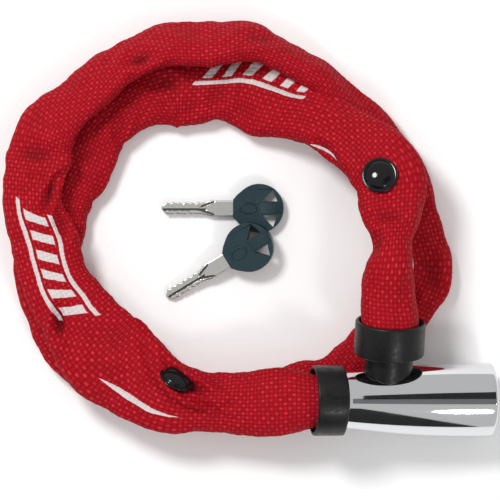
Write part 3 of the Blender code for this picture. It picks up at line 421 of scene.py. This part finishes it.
def clear_of_links(s, points, normals):
    """The cloth lies over the chain: push it out wherever a link would show through."""
    lift = np.zeros(points.shape[:2])
    for ring, distance in enumerate(s):
        near = [tree for at, tree in LINKS if abs(at - distance) < LINK_REACH]
        for place in range(POINTS_AROUND):
            here, normal = Vector(points[ring, place]), Vector(normals[ring, place])
            for tree in near:
                hit = tree.ray_cast(here + normal * LINK_SEARCH, -normal,
                                    LINK_SEARCH + LINK_GAP)[0]
                if hit is not None:
                    out = (hit - here).dot(normal) + LINK_GAP
                    lift[ring, place] = max(lift[ring, place], out)
    for _ in range(LIFT_SPREAD):
        beside = np.maximum(np.roll(lift, 1, axis=1), np.roll(lift, -1, axis=1))
        beside[1:] = np.maximum(beside[1:], lift[:-1])
        beside[:-1] = np.maximum(beside[:-1], lift[1:])
        lift = np.maximum(lift, beside * LIFT_FALL)
    return points + normals * lift[:, :, None]


def sleeve_mesh(name, start, end):
    rings = int(round((end - start) / (CELL / 2)))
    s = start + (end - start) * np.arange(rings + 1) / rings
    points = ring_points(s)
    row = np.round(s / (CELL / 2))
    column = np.arange(POINTS_AROUND)
    checker = np.outer(np.sin(np.pi * (row + 0.5) / 2), np.sin(np.pi * (column + 0.5) / 2))
    points = points + surface_normals(points) * (checker * RELIEF)[:, :, None]
    count = POINTS_AROUND
    first = np.arange(rings)[:, None] * count
    after = (column + 1) % count
    faces = np.stack([first + column, first + after, first + count + after,
                      first + count + column], axis=2).reshape(-1, 4)
    mesh = bpy.data.meshes.new(name)
    mesh.from_pydata(points.reshape(-1, 3), [], faces.tolist())
    u0, u1 = column / 2, (column + 1) / 2
    v0, v1 = s[:-1] / CELL, s[1:] / CELL
    corners = np.zeros((rings, count, 4, 2))
    corners[:, :, 0, 0] = corners[:, :, 3, 0] = u0
    corners[:, :, 1, 0] = corners[:, :, 2, 0] = u1
    corners[:, :, 0, 1] = corners[:, :, 1, 1] = v0[:, None]
    corners[:, :, 2, 1] = corners[:, :, 3, 1] = v1[:, None]
    mesh.uv_layers.new(name="weave").data.foreach_set("uv", corners.ravel())
    # The fold depth in millimetres at each point, kept for the painted shade in the folds.
    fold_shade = mesh.attributes.new("fold", "FLOAT", "POINT")
    around = np.linspace(0.0, 2 * np.pi, count, endpoint=False)
    fold_shade.data.foreach_set("value", (fold_depth(s, around) * 1000).ravel())
    mesh.shade_smooth()
    return mesh


# ---------------------------------------------------------------- materials
class Shader:
    """A node material with short calls for maths."""

    def __init__(self, name):
        self.material = bpy.data.materials.new(name)
        self.material.use_nodes = True
        self.tree = self.material.node_tree
        self.surface = self.tree.nodes["Principled BSDF"]

    def node(self, kind, **settings):
        made = self.tree.nodes.new(kind)
        for key, value in settings.items():
            setattr(made, key, value)
        return made

    def put(self, socket, value):
        if isinstance(value, bpy.types.NodeSocket):
            self.tree.links.new(value, socket)
        else:
            socket.default_value = value

    def math(self, operation, *values):
        made = self.node("ShaderNodeMath", operation=operation)
        for socket, value in zip(made.inputs, values):
            self.put(socket, value)
        return made.outputs[0]

    def ramp(self, value, low, high, to_low=0.0, to_high=1.0, smooth=True):
        made = self.node("ShaderNodeMapRange")
        made.interpolation_type = "SMOOTHSTEP" if smooth else "LINEAR"
        for index, item in enumerate((value, low, high, to_low, to_high)):
            self.put(made.inputs[index], item)
        return made.outputs[0]

    def mix(self, share, first, second):
        made = self.node("ShaderNodeMix", data_type="RGBA")
        self.put(made.inputs["Factor"], share)
        for socket, value in ((made.inputs[6], first), (made.inputs[7], second)):
            if isinstance(value, bpy.types.NodeSocket):
                self.tree.links.new(value, socket)
            else:
                socket.default_value = (*value, 1.0)
        return made.outputs[2]

    def noise(self, scale, detail=4.0, roughness=0.55):
        place = self.node("ShaderNodeTexCoord").outputs["Object"]
        made = self.node("ShaderNodeTexNoise")
        self.put(made.inputs["Vector"], place)
        made.inputs["Scale"].default_value = scale
        made.inputs["Detail"].default_value = detail
        made.inputs["Roughness"].default_value = roughness
        return made.outputs["Fac"]

    def bump(self, height, strength, distance):
        made = self.node("ShaderNodeBump")
        made.inputs["Strength"].default_value = strength
        made.inputs["Distance"].default_value = distance
        self.put(made.inputs["Height"], height)
        self.put(self.surface.inputs["Normal"], made.outputs[0])

    def set(self, **values):
        for key, value in values.items():
            socket = self.surface.inputs[key.replace("_", " ")]
            if isinstance(value, tuple):
                value = (*value, 1.0)
            self.put(socket, value)


# Prints on the cloth: distance along and place around, in cells from the outer edge.
PRINTS = ((0.1690, 10.0), (0.8880, 3.54), (0.4950, 15.4))
# Lone tapering strokes: distance, place around in cells, half the length, half the width.
STROKES = ((0.0950, 5.8, 0.0195, 0.0014), (0.9345, 18.4, 0.0085, 0.0013))
BAR_PITCH = 0.0096
PRINT_HALF_LENGTH = BAR_PITCH * 3
PRINT_BARS = 0.0052               # half the bars' length
PRINT_LINE = (0.0070, 0.0090)     # from the print's middle line to its edge lines
PRINT_SLANT = 0.55
WHOLE_PITCHES = BAR_PITCH * 100   # keeps the bars' phase positive


def print_mask(shader, u, v):
    """A plain mark: slanted bars between two lines."""
    total = None
    for at, place in PRINTS:
        along = shader.math("MULTIPLY", shader.math("SUBTRACT", v, at / CELL), CELL)
        across = shader.math("MULTIPLY", shader.math("SUBTRACT", u, place), CELL)
        far = shader.math("ABSOLUTE", across)
        slanted = shader.math("ADD", along, shader.math("MULTIPLY", across, PRINT_SLANT))
        inside = shader.ramp(shader.math("ABSOLUTE", slanted), PRINT_HALF_LENGTH - 0.0002,
                             PRINT_HALF_LENGTH + 0.0002, 1.0, 0.0)
        shifted = shader.math("ADD", slanted, WHOLE_PITCHES)
        phase = shader.math("FRACT", shader.math("DIVIDE", shifted, BAR_PITCH))
        bar = shader.ramp(shader.math("ABSOLUTE", shader.math("SUBTRACT", phase, 0.5)),
                          0.22, 0.26, 1.0, 0.0)
        bars = shader.math("MULTIPLY", bar, shader.ramp(far, PRINT_BARS - 0.0002,
                                                        PRINT_BARS + 0.0002, 1.0, 0.0))
        middle = (PRINT_LINE[0] + PRINT_LINE[1]) / 2
        half = (PRINT_LINE[1] - PRINT_LINE[0]) / 2
        line = shader.ramp(shader.math("ABSOLUTE", shader.math("SUBTRACT", far, middle)),
                           half - 0.0001, half + 0.0003, 1.0, 0.0)
        mark = shader.math("MULTIPLY", inside, shader.math("MAXIMUM", bars, line))
        total = mark if total is None else shader.math("MAXIMUM", total, mark)
    for stroke in STROKES:
        total = shader.math("MAXIMUM", total, stroke_mask(shader, u, v, *stroke))
    return total


def stroke_mask(shader, u, v, at, place, half_length, half_width):
    along = shader.math("MULTIPLY", shader.math("SUBTRACT", v, at / CELL), CELL / half_length)
    across = shader.math("MULTIPLY", shader.math("SUBTRACT", u, place), CELL)
    taper = shader.math("SUBTRACT", 1.0, shader.math("MULTIPLY", along, along))
    width = shader.math("MULTIPLY", taper, half_width)
    return shader.math("GREATER_THAN", width, shader.math("ABSOLUTE", across))


def weave_material():
    """A coarse plain weave of thick red yarn with a worn white print, painted shade in the yarn gaps
    and folds, and painted highlights on the yarn crowns.
    """
    shader = Shader("red_weave")
    place = shader.node("ShaderNodeUVMap", uv_map="weave")
    split = shader.node("ShaderNodeSeparateXYZ")
    shader.put(split.inputs[0], place.outputs[0])
    u, v = split.outputs[0], split.outputs[1]
    wobble = shader.math("MULTIPLY", shader.math("SUBTRACT", shader.noise(160.0, 2.0), 0.5), 0.5)
    u_bent, v_bent = shader.math("ADD", u, wobble), shader.math("ADD", v, wobble)
    across_u = shader.math("ABSOLUTE", shader.math("SINE", shader.math("MULTIPLY", u_bent, math.pi)))
    across_v = shader.math("ABSOLUTE", shader.math("SINE", shader.math("MULTIPLY", v_bent, math.pi)))
    parity = shader.math("MODULO", shader.math("ADD", shader.math("FLOOR", u_bent),
                                               shader.math("FLOOR", v_bent)), 2.0)
    parity = shader.math("GREATER_THAN", shader.math("ABSOLUTE", parity), 0.5)
    warp = shader.math("MULTIPLY", shader.math("POWER", across_u, 0.7),
                       shader.math("POWER", across_v, 0.35))
    weft = shader.math("MULTIPLY", shader.math("POWER", across_v, 0.7),
                       shader.math("POWER", across_u, 0.35))
    warp = shader.math("MULTIPLY", warp, shader.math("SUBTRACT", 1.0, parity))
    weft = shader.math("MULTIPLY", shader.math("MULTIPLY", weft, parity), 0.72)
    yarn = shader.math("ADD", warp, weft)
    fibres = shader.noise(2400.0, 3.0)
    patches = shader.noise(28.0, 3.0)
    cell = shader.node("ShaderNodeCombineXYZ")
    shader.put(cell.inputs[0], shader.math("FLOOR", u_bent))
    shader.put(cell.inputs[1], shader.math("FLOOR", v_bent))
    chance = shader.node("ShaderNodeTexWhiteNoise", noise_dimensions="3D")
    shader.put(chance.inputs["Vector"], cell.outputs[0])
    chance = chance.outputs["Value"]
    # Painted shade and light: the red yarn is painted darker in the gaps between the yarns, where
    # shade falls, and lighter on the yarn crowns; noise patches and a random value per cell vary the
    # tone.
    deep = shader.mix(patches, (0.21, 0.0008, 0.005), (0.28, 0.0012, 0.007))
    lit_crown_red = shader.mix(chance, (0.36, 0.0016, 0.009), (0.46, 0.0040, 0.014))
    cloth = shader.mix(shader.ramp(yarn, 0.15, 0.80), deep, lit_crown_red)
    # Painted highlight: pale pink spots on the crowns of the warp floats stand in for reflected light.
    # Their strength is random per cell and broken up by fibre noise.
    highlight_strength = shader.ramp(chance, 0.0, 1.0, 0.35, 0.95, smooth=False)
    painted_highlight = shader.math("MULTIPLY", shader.ramp(warp, 0.72, 1.0, 0.0, 0.62),
                        shader.ramp(fibres, 0.35, 0.75, 0.2, 1.0))
    cloth = shader.mix(shader.math("MULTIPLY", painted_highlight, highlight_strength), cloth, (0.74, 0.12, 0.13))
    # Painted shade in the folds: the deeper the fold, the closer the cloth is painted to a near-black
    # red.
    fold_shade = shader.node("ShaderNodeAttribute", attribute_name="fold").outputs["Fac"]
    cloth = shader.mix(shader.ramp(fold_shade, 0.2, 4.2, 0.0, 0.82), cloth, (0.06, 0.0004, 0.002))
    mark = print_mask(shader, u_bent, v_bent)
    worn = shader.math("MULTIPLY", mark, shader.ramp(yarn, 0.02, 0.30, 0.72, 1.0))
    cloth = shader.mix(worn, cloth, (0.62, 0.57, 0.56))
    height = shader.math("ADD", yarn, shader.math("MULTIPLY", fibres, 0.22))
    shader.put(shader.surface.inputs["Base Color"], cloth)
    shader.set(Roughness=0.72)
    shader.surface.inputs["Specular IOR Level"].default_value = 0.12
    shader.bump(height, 0.6, 0.00045)
    return shader.material


def chrome_material():
    shader = Shader("chrome")
    shader.set(Base_Color=(0.73, 0.74, 0.75), Metallic=1.0)
    smear = shader.ramp(shader.noise(60.0, 5.0), 0.35, 0.8, 0.035, 0.10)
    shader.put(shader.surface.inputs["Roughness"], smear)
    shader.bump(shader.noise(35.0, 2.0), 0.03, 0.001)
    return shader.material


def collar_material():
    shader = Shader("collar_black")
    tone = shader.noise(420.0, 5.0)
    shader.put(shader.surface.inputs["Base Color"],
               shader.mix(tone, (0.004, 0.004, 0.0045), (0.010, 0.010, 0.0105)))
    shader.surface.inputs["Specular IOR Level"].default_value = 0.28
    shader.put(shader.surface.inputs["Roughness"], shader.ramp(tone, 0.3, 0.7, 0.30, 0.50))
    shader.bump(shader.noise(1500.0, 3.0), 0.10, 0.0002)
    return shader.material


def metal_material(name, colour, rough_low, rough_high, grain=2600.0):
    shader = Shader(name)
    tone = shader.noise(grain, 5.0)
    dark = tuple(c * 0.90 for c in colour)
    shader.put(shader.surface.inputs["Base Color"], shader.mix(tone, dark, colour))
    shader.set(Metallic=1.0)
    shader.put(shader.surface.inputs["Roughness"],
               shader.ramp(tone, 0.3, 0.7, rough_low, rough_high))
    shader.bump(tone, 0.08, 0.0001)
    return shader.material


def enamel_material():
    shader = Shader("black_enamel")
    shader.set(Base_Color=(0.006, 0.006, 0.007))
    shader.put(shader.surface.inputs["Roughness"],
               shader.ramp(shader.noise(300.0, 4.0), 0.3, 0.7, 0.05, 0.14))
    shader.surface.inputs["Specular IOR Level"].default_value = 0.22
    shader.surface.inputs["Coat Weight"].default_value = 0.12
    shader.surface.inputs["Coat Roughness"].default_value = 0.03
    return shader.material


def key_plastic_material():
    shader = Shader("key_plastic")
    tone = shader.noise(700.0, 4.0)
    shader.put(shader.surface.inputs["Base Color"],
               shader.mix(tone, (0.007, 0.024, 0.031), (0.011, 0.034, 0.043)))
    shader.surface.inputs["Specular IOR Level"].default_value = 0.35
    shader.put(shader.surface.inputs["Roughness"], shader.ramp(tone, 0.3, 0.7, 0.30, 0.46))
    shader.bump(shader.noise(2200.0, 2.0), 0.07, 0.0001)
    return shader.material


MATERIALS = {
    "red_fabric": weave_material(),
    "chrome": chrome_material(),
    "black_plastic": collar_material(),
    "gloss_black": enamel_material(),
    "key_plastic": key_plastic_material(),
    "nickel": metal_material("nickel", (0.64, 0.635, 0.60), 0.22, 0.38),
    "steel": metal_material("steel", (0.52, 0.52, 0.54), 0.30, 0.45),
    "brass": metal_material("brass", (0.78, 0.60, 0.27), 0.22, 0.36),
    "zinc": metal_material("zinc", (0.55, 0.56, 0.57), 0.38, 0.52),
    # Painted shade: a dark metal for the faces deep in the key blade's groove and flares, standing in
    # for the shade that falls there.
    "groove": metal_material("groove", (0.10, 0.10, 0.095), 0.45, 0.60),
}


def dress_nodes():
    """Every CAD node gets its slot's material."""
    for part in frame["record"]["subparts"]:
        node = frame["nodes"][part["node"]]
        node.data.materials.clear()
        node.data.materials.append(MATERIALS[part["material_slot"]])


def add_piece(name, mesh, slot, matrix=None):
    piece = bpy.data.objects.new(name, mesh)
    bpy.context.scene.collection.objects.link(piece)
    mesh.materials.append(MATERIALS[slot])
    if matrix is not None:
        piece.matrix_world = matrix
    return piece


dress_nodes()

# ---------------------------------------------------------------- the sleeve and its tail
sleeve_end = route.length - SLEEVE_INSET
tail_start = route.length - TAIL_LENGTH

sleeve = add_piece("woven_sleeve", sleeve_mesh("woven_sleeve", SLEEVE_INSET, tail_start),
                   "red_fabric")
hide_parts("sleeve_bend_1", "sleeve_bend_2", "sleeve_bend_3", "sleeve_bend_4",
            "sleeve_outer_left", "sleeve_outer_right", "sleeve_inner_left",
            "sleeve_inner_right")
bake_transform(sleeve)

tail = add_piece("sleeve_tail", sleeve_mesh("sleeve_tail", tail_start, sleeve_end),
                 "red_fabric")
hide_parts("sleeve_pin_end")
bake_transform(tail)

# ---------------------------------------------------------------- turned pieces
TURN_STEPS = 128


def turned_mesh(name, profile, closed, steps=TURN_STEPS):
    """A shape turned about Z from (radius, height) points."""
    mesh = bpy.data.meshes.new(name)
    form = bmesh.new()
    points = [form.verts.new((radius, 0.0, height)) for radius, height in profile]
    pairs = list(zip(points, points[1:])) + ([(points[-1], points[0])] if closed else [])
    edges = [form.edges.new(pair) for pair in pairs]
    bmesh.ops.spin(form, geom=points + edges, cent=(0, 0, 0), axis=(0, 0, 1),
                   angle=2 * math.pi, steps=steps, use_merge=True)
    bmesh.ops.remove_doubles(form, verts=form.verts, dist=0.000002)
    bmesh.ops.recalc_face_normals(form, faces=form.faces)
    form.to_mesh(mesh)
    form.free()
    mesh.shade_smooth()
    mesh.set_sharp_from_angle(angle=math.radians(40))
    return mesh


def arc(centre, radius, start, end, count):
    angles = [math.radians(start + (end - start) * i / (count - 1)) for i in range(count)]
    return [(centre[0] + radius * math.cos(a), centre[1] + radius * math.sin(a))
            for a in angles]


BARREL_LENGTH = 0.0730
BARREL_RADIUS = 0.0182
BARREL_SMALL = 0.0136
BARREL_WIDEST = 0.0640
BARREL_BORE = 0.0112


def barrel_radius(distance):
    swell = BARREL_RADIUS - BARREL_SMALL
    bow = (BARREL_WIDEST ** 2 + swell ** 2) / (2 * swell)
    return BARREL_RADIUS - bow + math.sqrt(bow ** 2 - (BARREL_WIDEST - distance) ** 2)


def make_barrel():
    rim = 0.0016
    edge = barrel_radius(BARREL_LENGTH) - rim
    profile = arc((edge, BARREL_LENGTH - rim), rim, 90, 0, 9)
    for i in range(1, 40):
        distance = (BARREL_LENGTH - rim) * (1 - i / 40)
        profile.append((barrel_radius(distance), distance))
    profile += arc((BARREL_SMALL - 0.0006, 0.0006), 0.0006, 0, -90, 5)
    profile += [(BARREL_BORE, 0.0), (BARREL_BORE, BARREL_LENGTH - 0.0004),
                (BARREL_BORE + 0.0004, BARREL_LENGTH)]
    turned_piece("barrel_body", profile, True, "chrome", BARREL_FRAME, "barrel_shell", "base")


def turned_piece(name, profile, closed, slot, matrix, node, body):
    piece = add_piece(name, turned_mesh(name, profile, closed), slot, matrix)
    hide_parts(node)
    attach(piece, body)
    return piece


COLLAR_RADIUS = 0.0170
COLLAR_BORE = 0.0152
COLLAR_EDGE = 0.0009


def collar_skin(low, high):
    """The outside of a collar from its high end to its low end, with rounded edges."""
    radius = COLLAR_RADIUS - COLLAR_EDGE
    skin = arc((radius, high - COLLAR_EDGE), COLLAR_EDGE, 90, 0, 6)
    return skin + arc((radius, low + COLLAR_EDGE), COLLAR_EDGE, 0, -90, 6)


def make_collars():
    start, floor, end = -0.0153, -0.0105, -0.0004
    inner = 0.0104
    profile = [(inner, end)] + collar_skin(start, end)
    profile += [(COLLAR_BORE + 0.0003, start), (COLLAR_BORE, start + 0.0004),
                (COLLAR_BORE, floor), (inner, floor)]
    turned_piece("chain_collar", profile, True, "black_plastic", BARREL_FRAME,
                 "barrel_collar", "base")
    low, high, floor = 0.0235, 0.0400, 0.0285
    neck, seat_top, bore, head = 0.0117, 0.0178, 0.0066, 0.0084
    inside = 0.0114
    profile = [(COLLAR_BORE, high - 0.0004), (COLLAR_BORE + 0.0003, high)]
    profile += collar_skin(low, high)
    profile += [(neck, low), (neck, SKIRT), (inside, SKIRT), (inside, seat_top),
                (bore, seat_top), (bore, 0.0228), (head, 0.0242), (head, floor),
                (COLLAR_BORE, floor)]
    collar = turned_piece("locking_pin_collar", profile, True, "black_plastic", PIN_FRAME,
                          "pin_collar", "pin")
    fit_skirt(collar.data)


SKIRT = 0.0120                    # height at which the skirt's foot is turned


def fit_skirt(mesh):
    """Moves the skirt's foot down to the barrel it stands on."""
    local = PIN_FRAME.inverted() @ BARREL_FRAME
    axis, start = local.col[2].xyz, local.translation
    for vertex in mesh.vertices:
        if abs(vertex.co.z - SKIRT) < 1e-6:
            station = (vertex.co - start).dot(axis)
            radius = barrel_radius(station) + 0.0004
            aside = math.hypot(*vertex.co.xy) ** 2 - vertex.co.dot(axis) ** 2
            vertex.co.z = math.sqrt(radius ** 2 - max(0.0, aside))


def make_pin_seat():
    """The chromed ring that stands on the barrel around the pin's hole."""
    inner, outer, low, high = 0.0058, 0.0113, 0.0086, 0.0176
    profile = [(inner, high)] + arc((outer - 0.0008, high - 0.0008), 0.0008, 90, 0, 6)
    profile += [(outer, low), (inner, low)]
    turned_piece("pin_seat", profile, True, "chrome", PIN_FRAME, "pin_seat_ring", "base")


# The second cap has sunk into a fold, tilted, so each cap has an extra tilt and shift.
CAP_LEAN = Vector((0.50, 0.86, 0.0))
RIVETS = ((1, "base", 0.0, (0.0, 0.0, 0.0)),
          (2, "loop_left", math.radians(42), (-0.0014, 0.0004, -0.0026)))


def make_rivets():
    """Domed snap caps with a rolled rim."""
    profile = [(0.0, 0.0036)]
    profile += [(0.0069 * math.sin(math.radians(a)), 0.0012 + 0.0024 * math.cos(math.radians(a)))
                for a in range(6, 84, 6)]
    profile += [(0.00695, 0.0014), (0.0072, 0.00115), (0.0076, 0.00125)]
    profile += arc((0.0081, 0.0007), 0.0006, 80, -90, 8)
    profile += [(0.0060, 0.0), (0.0, 0.0)]
    for number, body, tilt, shift in RIVETS:
        node = f"snap_cap_{number}"
        place = node_frame(node)
        side = Vector((0.0, 0.0, 1.0)).cross(CAP_LEAN)
        turn = Matrix.Rotation(tilt, 4, side) if tilt else Matrix.Identity(4)
        middle = Matrix.Translation(place.translation + Vector(shift))
        matrix = middle @ turn @ place.to_3x3().to_4x4()
        turned_piece(f"rivet_cap_{number}", profile, False, "gloss_black", matrix, node, body)


def node_frame(node):
    """The frame of a turned cap from its mesh: its flat face's middle and its axis."""
    points = np.array([v.co for v in frame["nodes"][node].data.vertices])
    centre = points.mean(axis=0)
    _, _, spread = np.linalg.svd(points - centre)
    axis = spread[2] if spread[2][2] > 0 else -spread[2]
    base = ((points - centre) @ axis).min()
    return frame_matrix(Vector(centre + axis * base), Vector((1.0, 0.0, 0.01)), Vector(axis))


# ---------------------------------------------------------------- keys
KEY_FRAMES = []
for tip, turn, lift in (((-0.0433, 0.0100, 0.00275), 0.0, 0.0),
                        ((-0.0408, -0.0333, 0.0013), math.radians(31), math.radians(9))):
    level = Vector((math.cos(turn), math.sin(turn), 0.0))
    upright = Vector((0.0, 0.0, 1.0))
    KEY_FRAMES.append(frame_matrix(Vector(tip),
                                   level * math.cos(lift) + upright * math.sin(lift),
                                   upright * math.cos(lift) - level * math.sin(lift)))

BLADE_LENGTH = 0.0360
BLADE_HALF = 0.0039
BLADE_MILLED_HALF = 0.0029
BLADE_THICKNESS = 0.0022
BLADE_COLUMNS = 40
SHOULDER = (0.0205, 0.0245)
# Cuts in the bitting: distance from the tip, depth on the upper and the lower edge.
BITTING = ((0.0042, 0.0006, 0.0002), (0.0072, 0.0003, 0.0004), (0.0102, 0.0008, 0.0002),
           (0.0133, 0.0004, 0.0005), (0.0163, 0.0007, 0.0003), (0.0190, 0.0002, 0.0002))
GROOVE_LINE = -0.0006
GROOVE_HALF = 0.00055
GROOVE_DEPTH = 0.00065


def smoothstep(low, high, x):
    t = np.clip((x - low) / (high - low), 0.0, 1.0)
    return t * t * (3 - 2 * t)


def blade_edges(x):
    """Upper and lower edges of the blade at distances from its tip."""
    half = BLADE_MILLED_HALF + (BLADE_HALF - BLADE_MILLED_HALF) * smoothstep(*SHOULDER, x)
    point = np.minimum(half, 0.0005 + x * 0.95)
    upper, lower = point.copy(), -point
    for at, high, low in BITTING:
        notch = np.clip(1.35 - np.abs(x - at) / 0.0010, 0.0, 1.0)
        upper -= notch * high
        lower += notch * low
    return upper, lower


def blade_cut(x, y):
    """Depth of the milled groove and of the two flares where it ends."""
    ends = smoothstep(0.0004, 0.0012, x) * (1 - smoothstep(0.0205, 0.0225, x))
    groove = (1 - smoothstep(GROOVE_HALF * 0.7, GROOVE_HALF, np.abs(y - GROOVE_LINE))) * ends
    run = smoothstep(0.0186, 0.0200, x) * (1 - smoothstep(0.0252, 0.0262, x))
    depth = groove * GROOVE_DEPTH
    for side in (-1, 1):
        line = side * (0.0007 + (x - 0.0190) * 0.36)
        half = 0.00062 - (x - 0.0190) * 0.03
        flare = (1 - smoothstep(half * 0.6, half, np.abs(y - line))) * run
        depth = np.maximum(depth, flare * GROOVE_DEPTH)
    return depth


def make_blade(number, matrix):
    x = np.linspace(0.0, BLADE_LENGTH, 181)
    upper, lower = blade_edges(x)
    t = np.linspace(0.0, 1.0, BLADE_COLUMNS)
    y = lower[:, None] + (upper - lower)[:, None] * t
    bevel = 0.00022 * (1 - np.minimum(1, np.minimum(t, 1 - t) * 16))[None, :]
    cut = blade_cut(np.repeat(x[:, None], BLADE_COLUMNS, axis=1), y)
    top = BLADE_THICKNESS / 2 - cut - bevel
    bottom = -BLADE_THICKNESS / 2 + cut[:, ::-1] + bevel
    rings = np.concatenate([np.stack([y, top], axis=2),
                            np.stack([y[:, ::-1], bottom[:, ::-1]], axis=2)], axis=1)
    count = BLADE_COLUMNS * 2
    points = [(x[i], *rings[i, j]) for i in range(len(x)) for j in range(count)]
    faces = [(i * count + j, (i + 1) * count + j, (i + 1) * count + (j + 1) % count,
              i * count + (j + 1) % count) for i in range(len(x) - 1) for j in range(count)]
    faces += [tuple(range(count)), tuple(reversed(range(len(points) - count, len(points))))]
    mesh = bpy.data.meshes.new(f"key_{number}_bitted_blade")
    mesh.from_pydata(points, [], faces)
    piece = add_piece(mesh.name, mesh, "nickel", matrix)
    # Faces deep in the groove and flares get the dark metal of painted shade.
    mesh.materials.append(MATERIALS["groove"])
    for face in mesh.polygons[:-2]:
        i, j = divmod(face.index, count)
        if j < BLADE_COLUMNS - 1 and cut[i, j] > GROOVE_DEPTH * 0.5:
            face.material_index = 1
    mesh.shade_smooth()
    mesh.set_sharp_from_angle(angle=math.radians(35))
    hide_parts(f"key_{number}_blade")
    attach(piece, f"key_{number}")


HEAD_START = 0.0350
HEAD_TOP = 0.00275


def plate_mesh(name, outline, height, bevel):
    """A low plate with a sloping edge, on the plane z = 0."""
    outline = np.array(outline)
    middle = outline.mean(axis=0)
    inner = middle + (outline - middle) * (1 - bevel / np.abs(outline - middle).max())
    levels = ((outline, -0.0003), (outline, height * 0.4), (inner, height))
    count = len(outline)
    points = [(x, y, z) for ring, z in levels for x, y in ring]
    faces = [(k * count + j, k * count + (j + 1) % count, (k + 1) * count + (j + 1) % count,
              (k + 1) * count + j) for k in range(2) for j in range(count)]
    faces += [tuple(range(2 * count, 3 * count)), tuple(reversed(range(count)))]
    mesh = bpy.data.meshes.new(name)
    mesh.from_pydata(points, [], faces)
    mesh.shade_smooth()
    mesh.set_sharp_from_angle(angle=math.radians(35))
    return mesh


def oval_ring_mesh(name, half_length, half_width, wire, height):
    """A low oval ring, rounded on top."""
    steps, sides = 64, 8
    form = bpy.data.meshes.new(name)
    points, faces = [], []
    for i in range(steps):
        a = 2 * math.pi * i / steps
        for j in range(sides):
            b = 2 * math.pi * j / sides
            reach = wire * math.cos(b)
            points.append(((half_length + reach) * math.cos(a),
                           (half_width + reach) * math.sin(a), height * math.sin(b)))
            faces.append((i * sides + j, ((i + 1) % steps) * sides + j,
                          ((i + 1) % steps) * sides + (j + 1) % sides,
                          i * sides + (j + 1) % sides))
    form.from_pydata(points, [], faces)
    form.shade_smooth()
    return form


def dress_head(number, matrix):
    """Rounded edges on the moulded head, a blank oval and a raised bar between the holes."""
    head = frame["nodes"][f"key_{number}_head"]
    weld = head.modifiers.new("weld", "WELD")
    weld.merge_threshold = 0.00001
    bevel = head.modifiers.new("bevel", "BEVEL")
    bevel.width = 0.0007
    bevel.segments = 3
    bevel.limit_method = "ANGLE"
    bevel.angle_limit = math.radians(50)
    bevel.harden_normals = True
    lift = matrix @ Matrix.Translation((0.0, 0.0, HEAD_TOP))
    ring = add_piece(f"key_{number}_oval", oval_ring_mesh("oval", 0.0040, 0.0025, 0.00042, 0.0006),
                     "key_plastic", lift @ Matrix.Translation((HEAD_START + 0.0074, 0.0, 0.0)))
    start, end, half = HEAD_START + 0.0132, HEAD_START + 0.0240, 0.0028
    bar = add_piece(f"key_{number}_bar", plate_mesh("bar", ((start, -half), (end, -half),
                                                            (end, half), (start, half)),
                                                    0.00022, 0.0003), "key_plastic", lift)
    for piece in (ring, bar):
        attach(piece, f"key_{number}")


make_barrel()
make_collars()
make_pin_seat()
make_rivets()
for key_number, key_frame in enumerate(KEY_FRAMES, 1):
    make_blade(key_number, key_frame)
    dress_head(key_number, key_frame)

# ---------------------------------------------------------------- floor, light, world


def make_floor():
    mesh = bpy.data.meshes.new("floor")
    half = 3.0
    mesh.from_pydata([(-half, -half, 0), (half, -half, 0), (half, half, 0), (-half, half, 0)],
                     [], [(0, 1, 2, 3)])
    shader = Shader("floor")
    shader.set(Base_Color=(0.93, 0.93, 0.93), Roughness=0.9)
    mesh.materials.append(shader.material)
    floor = bpy.data.objects.new("floor", mesh)
    bpy.context.scene.collection.objects.link(floor)
    floor.location.z = min(0.0, cad_low.z) - 0.0002


def aim(thing, location, target):
    thing.location = location
    direction = Vector(target) - Vector(location)
    thing.rotation_mode = "QUATERNION"
    thing.rotation_quaternion = direction.to_track_quat("-Z", "Y")
    bpy.context.scene.collection.objects.link(thing)


def make_light(name, location, size, power):
    data = bpy.data.lights.new(name, "AREA")
    data.energy = power
    data.shape = "ELLIPSE"
    data.size, data.size_y = size
    aim(bpy.data.objects.new(name, data), location, (0.0, 0.0, 0.0))


def make_card(name, corners, shade):
    """A dark board that shows only in the chrome's reflections."""
    mesh = bpy.data.meshes.new(name)
    mesh.from_pydata(corners, [], [(0, 1, 2, 3)])
    shader = Shader(name)
    shader.set(Base_Color=(shade, shade, shade * 1.08), Roughness=0.9)
    mesh.materials.append(shader.material)
    card = bpy.data.objects.new(name, mesh)
    card.visible_camera = False
    card.visible_diffuse = False
    card.visible_shadow = False
    bpy.context.scene.collection.objects.link(card)


def make_world():
    world = bpy.data.worlds.new("studio")
    bpy.context.scene.world = world
    world.use_nodes = True
    world.node_tree.nodes["Background"].inputs["Color"].default_value = (1.0, 1.0, 1.0, 1.0)
    world.node_tree.nodes["Background"].inputs["Strength"].default_value = 0.60


CARDS = (
    ("card_grey", 0.20, ((0.05, -0.30, 1.25), (1.3, -0.42, 1.25), (1.3, 0.10, 1.25),
                         (0.05, 0.10, 1.25))),
    ("card_above", 0.02, ((0.16, 0.02, 1.2), (0.95, 0.00, 1.2), (0.95, 0.62, 1.2), (0.16, 0.34, 1.2))),
    ("card_front", 0.01, ((-0.9, -0.62, 0.01), (0.22, -0.62, 0.01), (0.14, -0.66, 1.05),
                    (-0.9, -0.66, 1.05))),
)

make_floor()
make_world()
for card_name, card_shade, card_corners in CARDS:
    make_card(card_name, card_corners, card_shade)
make_light("key", (-0.6, 0.7, 1.3), (0.4, 0.4), 16.0)
make_light("fill", (0.5, -0.8, 1.0), (0.25, 0.25), 3.0)
make_light("spark", (1.0, -0.36, 1.1), (0.04, 0.10), 0.25)
bpy.context.scene.view_settings.view_transform = "Standard"
